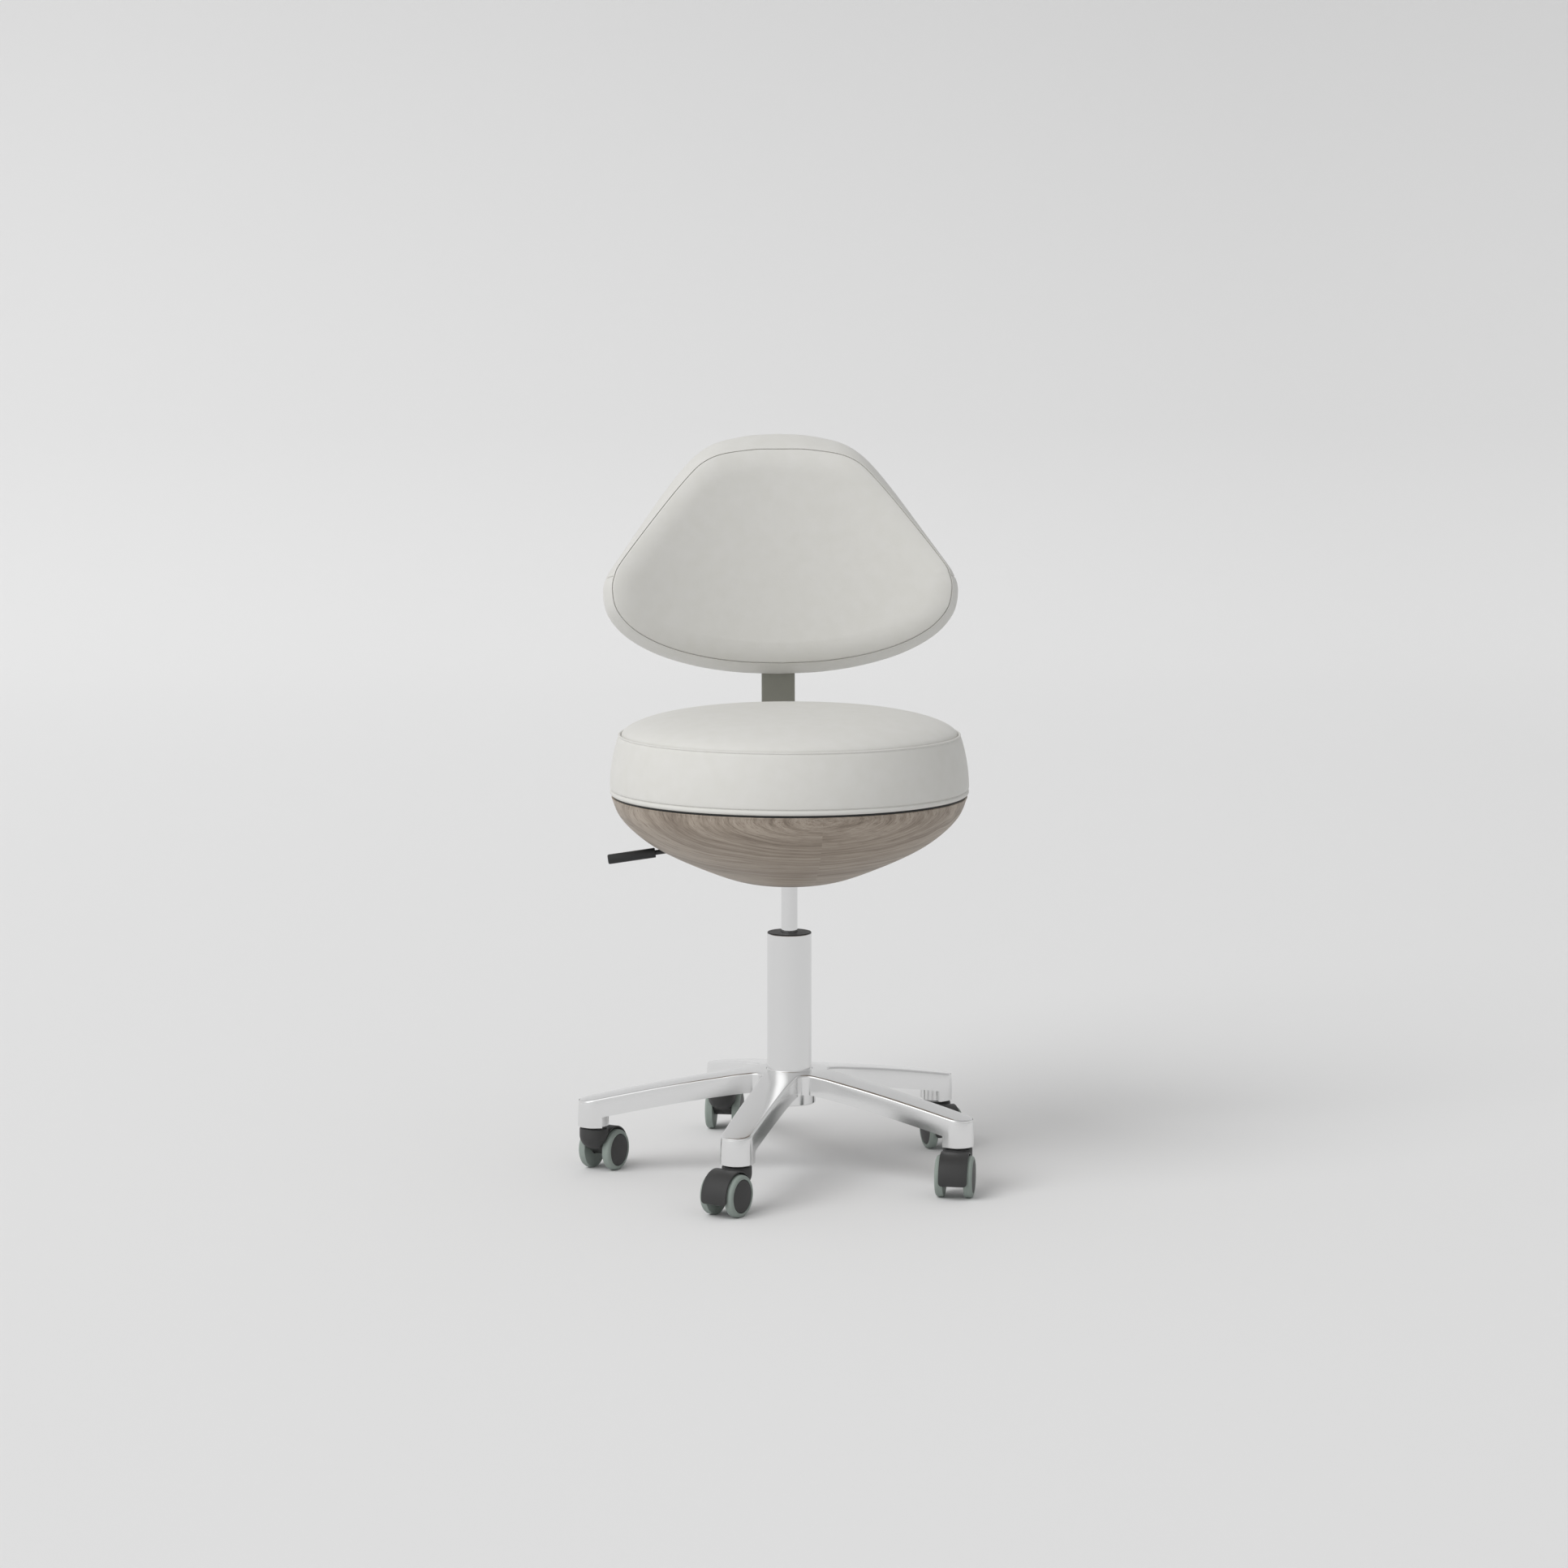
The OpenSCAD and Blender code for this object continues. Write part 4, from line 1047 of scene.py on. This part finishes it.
@dataclass
class Casters:
    """The turned wheels and tyres of the five twin wheel casters."""

    turns: tuple = (-32.9, -215.2, -192.9, -167.3, -11.0)
    trail: float = 0.0208
    radius: float = 0.023
    thickness: float = 0.0096
    gap: float = 0.0222
    rim: float = 0.01817
    hub: float = 0.007
    recess: float = 0.0003
    shoulder: float = 0.0036
    inner_round: float = 0.0008
    web: float = 0.0012
    dome: float = 0.0009
    dome_rings: tuple = (0.96, 0.85, 0.7, 0.5, 0.3, 0.12)

    def stand(self, index: int) -> Matrix:
        """Matrix from a caster's own frame, with its stem on Z, to its arm."""
        stem = arm_turn(index) @ Vector((ARM_REACH, 0.0, 0.0))
        return Matrix.Translation(stem) @ turn_by(self.turns[index])

    def on_axle(self, side: int, shift: float = 0.0) -> Matrix:
        """Matrix that lays a turned piece on the axle, on one side and shifted outwards."""
        axle = Matrix.Translation((side * shift, self.trail, self.radius))
        return axle @ turn_by(side * 90, "Y")

    def tyre(self) -> list[Pair]:
        """Half section of a tyre with the web that covers the wheel's inner face."""
        inner, outer = self.recess, self.thickness
        rim = self.rim + 0.00005
        start = (self.hub + 0.0004, inner + self.web)
        section = [start, (self.hub + 0.0004, inner)]
        section += arc((self.radius - self.inner_round, inner + self.inner_round),
                       self.inner_round, -90, 0, 6)
        section += arc((self.radius - self.shoulder, outer - self.shoulder),
                       self.shoulder, 0, 90, 12)
        return section + [(rim + 0.0003, outer), (rim, outer - 0.0003),
                          (rim, inner + self.web), start]

    def core(self) -> list[Pair]:
        """Half section of a wheel body: domed disc outside, boss inside."""
        face = self.thickness - 0.0003
        inner = self.recess + self.web + 0.0001
        edge = self.rim - 0.0001
        dome = [(self.rim * share, face + self.dome * (1 - share ** 2))
                for share in self.dome_rings]
        return [(0.0, 0.0002), (self.hub - 0.0006, 0.0002), (self.hub, 0.0008),
                (self.hub, inner), (edge, inner), (edge, face - 0.0008),
                (self.rim - 0.0004, face - 0.0003)] + dome + [(0.0, face + self.dome)]

    def build(self, finishes: Finishes) -> None:
        """Makes ten tyres and ten wheel bodies."""
        parts = ((self.tyre(), "tread", Slot.TREAD, "tyre"),
                 (self.core(), "disc", Slot.CASTER, "wheel"))
        for index in range(ARM_COUNT):
            number = index + 1
            for side, word in ((-1, "left"), (1, "right")):
                place = self.stand(index) @ self.on_axle(side, self.gap / 2)
                for section, piece, slot, node in parts:
                    made = Form().turned(section, 72, place).piece(
                        f"caster_{number}_{piece}_{word}")
                    finishes.settle(made, f"wheel_{number}_{word}", slot,
                                    f"caster_{number}_{node}_{word}")


@dataclass
class Hoods:
    """The five caster housings: a curved hood, a round stem boss and the axle web."""

    casters: Casters
    gap: float = 0.0018
    wall: float = 0.002
    width: float = 0.0312
    low: float = 0.0162
    start: float = -0.002
    corner: float = 0.004
    bends: int = 44
    edge: float = 0.0005
    boss: float = 0.0163
    boss_low: float = 0.0261
    boss_round: float = 0.0016
    top: float = 0.0507
    stem: float = 0.00555
    stem_depth: float = 0.0203
    axle_boss: float = 0.0065
    side_gap: float = 0.0005

    def hood(self) -> Form:
        """The curved hood, bent from a flat blank with rounded lower corners."""
        trail, radius = self.casters.trail, self.casters.radius
        outer = radius + self.gap + self.wall
        front = math.asin((self.start - trail) / outer)
        rear = math.pi / 2 + math.asin((radius - self.low) / outer)
        side = self.width / 2
        end = rear * outer - self.corner
        blank = [(-side, front * outer), (side, front * outer)]
        blank += arc((side - self.corner, end), self.corner, 0, 90, 6)
        blank += arc((self.corner - side, end), self.corner, 90, 180, 6)
        form = Form()
        mesh = form.mesh
        mesh.faces.new([mesh.verts.new((x, y, 0.0)) for x, y in blank])
        for i in range(1, self.bends):
            at = (front + (rear - front) * i / self.bends) * outer
            sliced(mesh, (0, at, 0), (0, 1, 0))
        for vert in mesh.verts:
            turn = vert.co.y / outer
            vert.co = (vert.co.x, trail + outer * math.sin(turn),
                       radius + outer * math.cos(turn))
        bmesh.ops.recalc_face_normals(mesh, faces=mesh.faces)
        bmesh.ops.solidify(mesh, geom=mesh.faces[:], thickness=self.wall)
        bmesh.ops.recalc_face_normals(mesh, faces=mesh.faces)
        return form.rounded(self.edge, 3, 1.0)

    def stem_boss(self) -> Form:
        """The round boss over the stem, with its soft top edge and the stem bore."""
        soft = self.boss_round
        section = arc((0.0, self.boss_low + self.boss), self.boss, -90, 0, 16)[1:]
        section = [(0.0, self.boss_low)] + section
        section += arc((self.boss - soft, self.top - soft), soft, 0, 90, 5)
        section += [(self.stem, self.top), (self.stem, self.top - self.stem_depth),
                    (0.0, self.top - self.stem_depth)]
        return Form().turned(section, 72)

    def web(self) -> Form:
        """The block between the wheels that joins boss, axle and hood."""
        trail, radius = self.casters.trail, self.casters.radius
        half = self.casters.gap / 2 - self.side_gap
        foot = arc((trail, radius), self.axle_boss, -100, 60, 14)
        roof = 2 * radius + self.gap + self.wall / 2
        side = [(-half, y, z) for y, z in [(0.001, self.boss_low + 0.0006)] + foot + [
            (trail, roof), (0.0, self.top - self.wall)]]
        return Form().slab(side, (2 * half, 0, 0)).rounded(0.0004, 2)

    def clearance(self) -> Form:
        """The room of the two wheels."""
        form = Form()
        start = self.casters.gap / 2 - self.side_gap
        end = start + 0.02
        reach = self.casters.radius + self.gap
        for side in (-1, 1):
            form.turned([(0.0, start), (reach, start), (reach, end), (0.0, end)], 96,
                        self.casters.on_axle(side))
        return form

    def build(self, finishes: Finishes) -> None:
        """Makes the housings from one pattern."""
        boss = carve(self.stem_boss().piece("boss_pattern"), self.clearance())
        hood = self.hood().join(self.web().mesh).piece("hood_pattern")
        for index in range(ARM_COUNT):
            body = f"caster_{index + 1}"
            for pattern, word, nodes in ((boss, "boss", [f"{body}_housing"]),
                                         (hood, "hood", [])):
                data = pattern.data.copy()
                data.transform(self.casters.stand(index))
                finishes.settle(linked(f"{body}_{word}", data), body, Slot.CASTER, *nodes)
        for pattern in (boss, hood):
            bpy.data.meshes.remove(pattern.data)


@dataclass
class Lift:
    """The column tube and its cap."""

    radius: float = 0.025
    seat_radius: float = 0.0235
    seat_bore: float = 0.022
    bore: float = 0.0235
    foot: float = 0.0828
    top: float = 0.2701
    bevel: float = 0.0005
    cap: float = 0.0012
    cap_radius: float = 0.0246
    cap_bevel: float = 0.0004
    tube: float = 0.0092
    guide: float = 0.0550
    play: float = 0.00005
    foot_ring: float = 0.0261
    foot_height: float = 0.0018
    foot_steps: int = 6

    def column(self) -> list[Pair]:
        """Half section of the column, with a small fillet at the hub."""
        seat = HUB_TOP + 0.0015
        flare = [(1 - k / self.foot_steps, k / self.foot_steps)
                 for k in range(self.foot_steps + 1)]
        return ([(self.seat_bore, self.foot), (self.seat_radius, self.foot),
                 (self.seat_radius, HUB_TOP - 0.0012),
                 (self.foot_ring - 0.0002, HUB_TOP - 0.0012),
                 (self.foot_ring, HUB_TOP - 0.001)]
                + [(self.radius + (self.foot_ring - self.radius) * out ** 2,
                    HUB_TOP - 0.0006 + self.foot_height * up) for out, up in flare]
                + [(self.radius, self.top - self.bevel), (self.radius - self.bevel, self.top),
                   (self.bore, self.top), (self.bore, seat), (self.seat_bore, seat),
                   (self.seat_bore, self.foot)])

    def cap_section(self) -> list[Pair]:
        """Half section of the cap and the guide below it."""
        inner = self.tube + self.play
        outer = self.bore - self.play
        low = self.top - self.guide
        high = self.top + self.cap
        lip = high - 0.0003
        return [(inner, low), (outer, low), (outer, self.top), (self.cap_radius, self.top),
                (self.cap_radius, high - self.cap_bevel),
                (self.cap_radius - self.cap_bevel, high), (inner + 0.0016, high),
                (inner + 0.0012, lip), (inner, lip), (inner, low)]

    def build(self, finishes: Finishes) -> None:
        """Makes the column and its cap with the guide."""
        made = Form().turned(self.column(), 128).piece("column_sleeve")
        finishes.settle(made, "base", Slot.COLUMN, "column_tube")
        made = Form().turned(self.cap_section(), 96).piece("column_cap")
        finishes.settle(made, "base", Slot.BLACK, "column_bush")


@dataclass
class Lever:
    """The grip of the height lever."""

    pivot: tuple = (-0.028, 0.0, 0.379)
    droop: float = 7.9
    reach: float = 0.17658
    grip: float = 0.0535
    bore_depth: float = 0.011
    radius: float = 0.0055
    rod: float = 0.00275
    play: float = 0.00005
    neck: float = 0.0012
    neck_round: float = 0.0008
    end_round: float = 0.0018

    def build(self, finishes: Finishes) -> None:
        """Makes the grip with its soft ends, on the lever's line."""
        start = self.reach - self.grip
        bore = self.rod + self.play
        ring, end = self.neck_round, self.end_round
        section = [(bore, self.reach - self.bore_depth), (bore, start),
                   (self.radius - self.neck, start)]
        section += arc((self.radius - ring, start + ring), ring, -70, 0, 4)
        section += arc((self.radius - end, self.reach - end), end, 0, 90, 7)
        section += [(0.0, self.reach)]
        place = Matrix.Translation(self.pivot) @ turn_by(-self.droop - 90, "Y")
        made = Form().turned(section, 48, place).piece("lever_handle")
        finishes.settle(made, "lever", Slot.BLACK, "lever_grip")


@dataclass
class BackBar:
    """The flat steel bar, bent up behind the seat, with its edges broken."""

    width: float = 0.0385
    thickness: float = 0.008
    board_low: float = 0.4275
    start: float = 0.078
    bend_y: float = 0.1973
    bend: float = 0.008
    length: float = 0.2813
    tilt: float = 2.5
    edge: float = 0.0009

    def profile(self) -> list[Pair]:
        """Side section of the bar as (y, z)."""
        centre = (self.bend_y, self.board_low + self.bend)
        outer = self.bend + self.thickness
        lean = math.radians(self.tilt)
        ends = [(centre[0] + radius * math.cos(lean) + self.length * math.sin(lean),
                 centre[1] - radius * math.sin(lean) + self.length * math.cos(lean))
                for radius in (outer, self.bend)]
        return ([(self.start, self.board_low), (self.start, self.board_low - self.thickness)]
                + arc(centre, outer, -90, -self.tilt, 14) + ends
                + arc(centre, self.bend, -self.tilt, -90, 14))

    def build(self, finishes: Finishes) -> None:
        """Makes the bar."""
        side = [(-self.width / 2, y, z) for y, z in self.profile()]
        form = Form().slab(side, (self.width, 0, 0)).rounded(self.edge, 3)
        finishes.settle(form.piece("back_strap", even=True), "seat", Slot.BAR, "back_bar")


@dataclass
class Bowl:
    """The wood grain bowl with its rim, lift hole, bar notch and lever slot."""

    radius: float = 0.1985
    depth: float = 0.100
    low: float = 0.3255
    wall: float = 0.004
    hole: float = 0.0095
    hole_edge: float = 0.001
    flange: float = 0.030
    flange_thickness: float = 0.005
    steps: int = 160
    notch_width: float = 0.0391
    notch_low: float = 0.4192
    slot_radius: float = 0.0065
    slot_heights: Pair = (0.3616, 0.3767)
    shares: tuple = ((0, 0), (0.17, 0.013), (0.343, 0.082), (0.576, 0.264), (0.757, 0.444),
                     (0.881, 0.626), (0.961, 0.807), (1, 1))

    def shell(self, radius: float, depth: float, low: float, steps: int) -> list[Pair]:
        """Section of the bowl's curve outside the hole, from the hole to the rim.

        Args:
            radius: Radius of its rim.
            depth: Its depth.
            low: Height of its lowest point.
            steps: Steps between two points of the curve.

        Returns:
            Points of (radius, height).
        """
        points = [(p.x * radius, p.y * depth + low) for p in smooth_line(self.shares, steps)]
        return [p for p in points if p[0] > self.hole + 0.002]

    def profile(self) -> list[Pair]:
        """Closed half section of the bowl with its flange."""
        top = self.low + self.depth
        floor = self.low + self.wall
        outer = [(self.hole, self.low + self.hole_edge)]
        outer += self.shell(self.radius, self.depth, self.low, 8)[:-1]
        inner = self.shell(self.radius - self.wall,
                           self.depth - self.wall - self.flange_thickness, floor, 3)[::-1]
        flange = self.radius - self.flange
        rim = [(self.radius, top - 0.0008), (self.radius - 0.0004, top - 0.0001),
               (self.radius - 0.0012, top), (flange, top), (flange, top - self.flange_thickness)]
        return outer + rim + inner + [(self.hole, floor), outer[0]]

    def build(self, finishes: Finishes) -> None:
        """Makes the bowl and cuts the bar's notch and the lever's slot."""
        made = Form().turned(self.profile(), self.steps).piece("wood_bowl")
        side = self.notch_width / 2
        top = self.low + self.depth + 0.01
        notch = [(x, 0.1, z) for x, z in ((-side, self.notch_low), (side, self.notch_low),
                                          (side, top), (-side, top))]
        carve(made, Form().slab(notch, (0, 0.15, 0)))
        low, high = self.slot_heights
        ends = (arc((0.0, high), self.slot_radius, 0, 180, 10)
                + arc((0.0, low), self.slot_radius, 180, 360, 10))
        carve(made, Form().slab([(-0.21, y, z) for y, z in ends], (0.11, 0, 0)))
        finishes.settle(made, "seat", Slot.OAK, "seat_bowl")


@dataclass
class Studio:
    """Paper sweep, sky, lamp and the camera that was fitted to the photograph."""

    # Painted light and shade on one even paper: lighter to the left, toward the key lamp, and
    # darker on the backdrop than on the floor.
    floor_tones: tuple = (tone(236), tone(228))
    wall_tones: tuple = (tone(229), tone(219))
    painted_light_across: Pair = (-1.6, 1.8)
    painted_shade_up: Pair = (0.0, 0.6)
    reach: float = 9.0
    floor_end: float = 4.0
    bend: float = 2.5
    key: tuple = (-1.0, -0.76, 1.22)
    key_energy: float = 1.4
    key_spread: float = 40.0
    sky_level: float = 0.505
    sky_slopes: tuple = (-0.15, -0.06, 0.1)
    seen_gain: float = 0.1
    box_gain: float = 0.8
    box_band: Pair = (0.8, 0.97)
    roof_gain: float = 0.18
    roof_band: Pair = (0.35, 0.8)
    lens: float = 94.2
    sensor: float = 36.0
    eye: tuple = (-0.2797, -4.5354, 0.9989)
    aim: tuple = (82.964, 0.0, -3.4526)

    def floor(self) -> None:
        """Lays a pale sweep: floor and backdrop in one sheet, with painted light that makes it
        lighter to the left and painted shade that darkens the backdrop.
        """
        form = Form()
        bend = arc((self.floor_end + 1.0, self.bend), self.bend, -90, 0, 14)[1:]
        sweep = [(-self.reach, 0.0), (self.floor_end, 0.0)] + bend + [
            (self.floor_end + 1.0 + self.bend, self.reach)]
        edges = form.wire([(-self.reach, y, z) for y, z in sweep])
        grown = bmesh.ops.extrude_edge_only(form.mesh, edges=edges)
        bmesh.ops.translate(form.mesh, vec=(2 * self.reach, 0, 0), verts=fresh(grown))
        bmesh.ops.recalc_face_normals(form.mesh, faces=form.mesh.faces)
        recipe = Recipe("studio_paper")
        across, _, up = recipe.split(recipe.place)
        # Painted light: the paper is lighter on the left, toward the key lamp, and the backdrop
        # is painted darker than the floor as painted shade.
        shade = recipe.band(across, *self.painted_light_across)
        color = recipe.blend(recipe.band(up, *self.painted_shade_up),
                             recipe.blend(shade, *self.floor_tones),
                             recipe.blend(shade, *self.wall_tones))
        paper = recipe.finish({"Base Color": color, "Roughness": 0.9,
                               "Specular IOR Level": 0.0})
        made = form.piece("studio_floor")
        made.data.materials.append(paper)

    def sky(self) -> None:
        """Makes an even sky, with a soft box and a dim roof that only reflections show."""
        world = bpy.data.worlds.new("studio_world")
        bpy.context.scene.world = world
        world.use_nodes = True
        sky = Graph(world.node_tree)
        parts = sky.split(sky.out(sky.coordinates, "Generated"))
        path = sky.add("ShaderNodeLightPath")
        mirror = sky.out(path, "Is Glossy Ray")
        seen = (mirror + sky.out(path, "Is Camera Ray")
                + sky.out(path, "Is Transmission Ray")).clamped()
        toward = Vector(self.key).normalized()
        box = sky.band(sum(part * share for part, share in zip(parts, toward)),
                       *self.box_band)
        roof = sky.band(parts[2], *self.roof_band)
        level = sum((part * slope for part, slope in zip(parts, self.sky_slopes)),
                    start=self.sky_level)
        level = (level + seen * self.seen_gain
                 + (box * self.box_gain - roof * self.roof_gain) * mirror)
        back = sky.read("Background", "ShaderNodeBackground",
                        {"Color": tone(255), "Strength": level})
        sky.add("ShaderNodeOutputWorld", {"Surface": back})

    def lamp(self) -> None:
        """Adds the key lamp, which reflections don't show."""
        sun = bpy.data.lights.new("key", "SUN")
        sun.energy = self.key_energy
        sun.angle = math.radians(self.key_spread)
        made = linked("key", sun)
        made.rotation_euler = Vector(self.key).to_track_quat("Z", "Y").to_euler()
        made.visible_glossy = False

    def camera(self) -> None:
        """Places the camera."""
        lens = bpy.data.cameras.new("camera")
        lens.lens = self.lens
        lens.sensor_width = self.sensor
        lens.clip_end = 60.0
        made = linked("camera", lens)
        made.location = self.eye
        made.rotation_euler = [math.radians(angle) for angle in self.aim]
        bpy.context.scene.camera = made
        bpy.context.scene.view_settings.view_transform = "Standard"

    def build(self) -> None:
        """Makes the whole studio."""
        self.floor()
        self.sky()
        self.lamp()
        self.camera()


def main() -> None:
    """Builds the stool's pieces in order, then the studio."""
    logging.basicConfig(level=logging.INFO)
    finishes = Finishes()
    finishes.dress(frame["nodes"], frame["record"]["subparts"])
    casters = Casters()
    for part in (StarBase(), casters, Hoods(casters), Lift(), Lever(), BackBar(),
                 SeatCushion(), BackPad(), Bowl()):
        part.build(finishes)
    Studio().build()


if __name__ == "__main__":
    main()
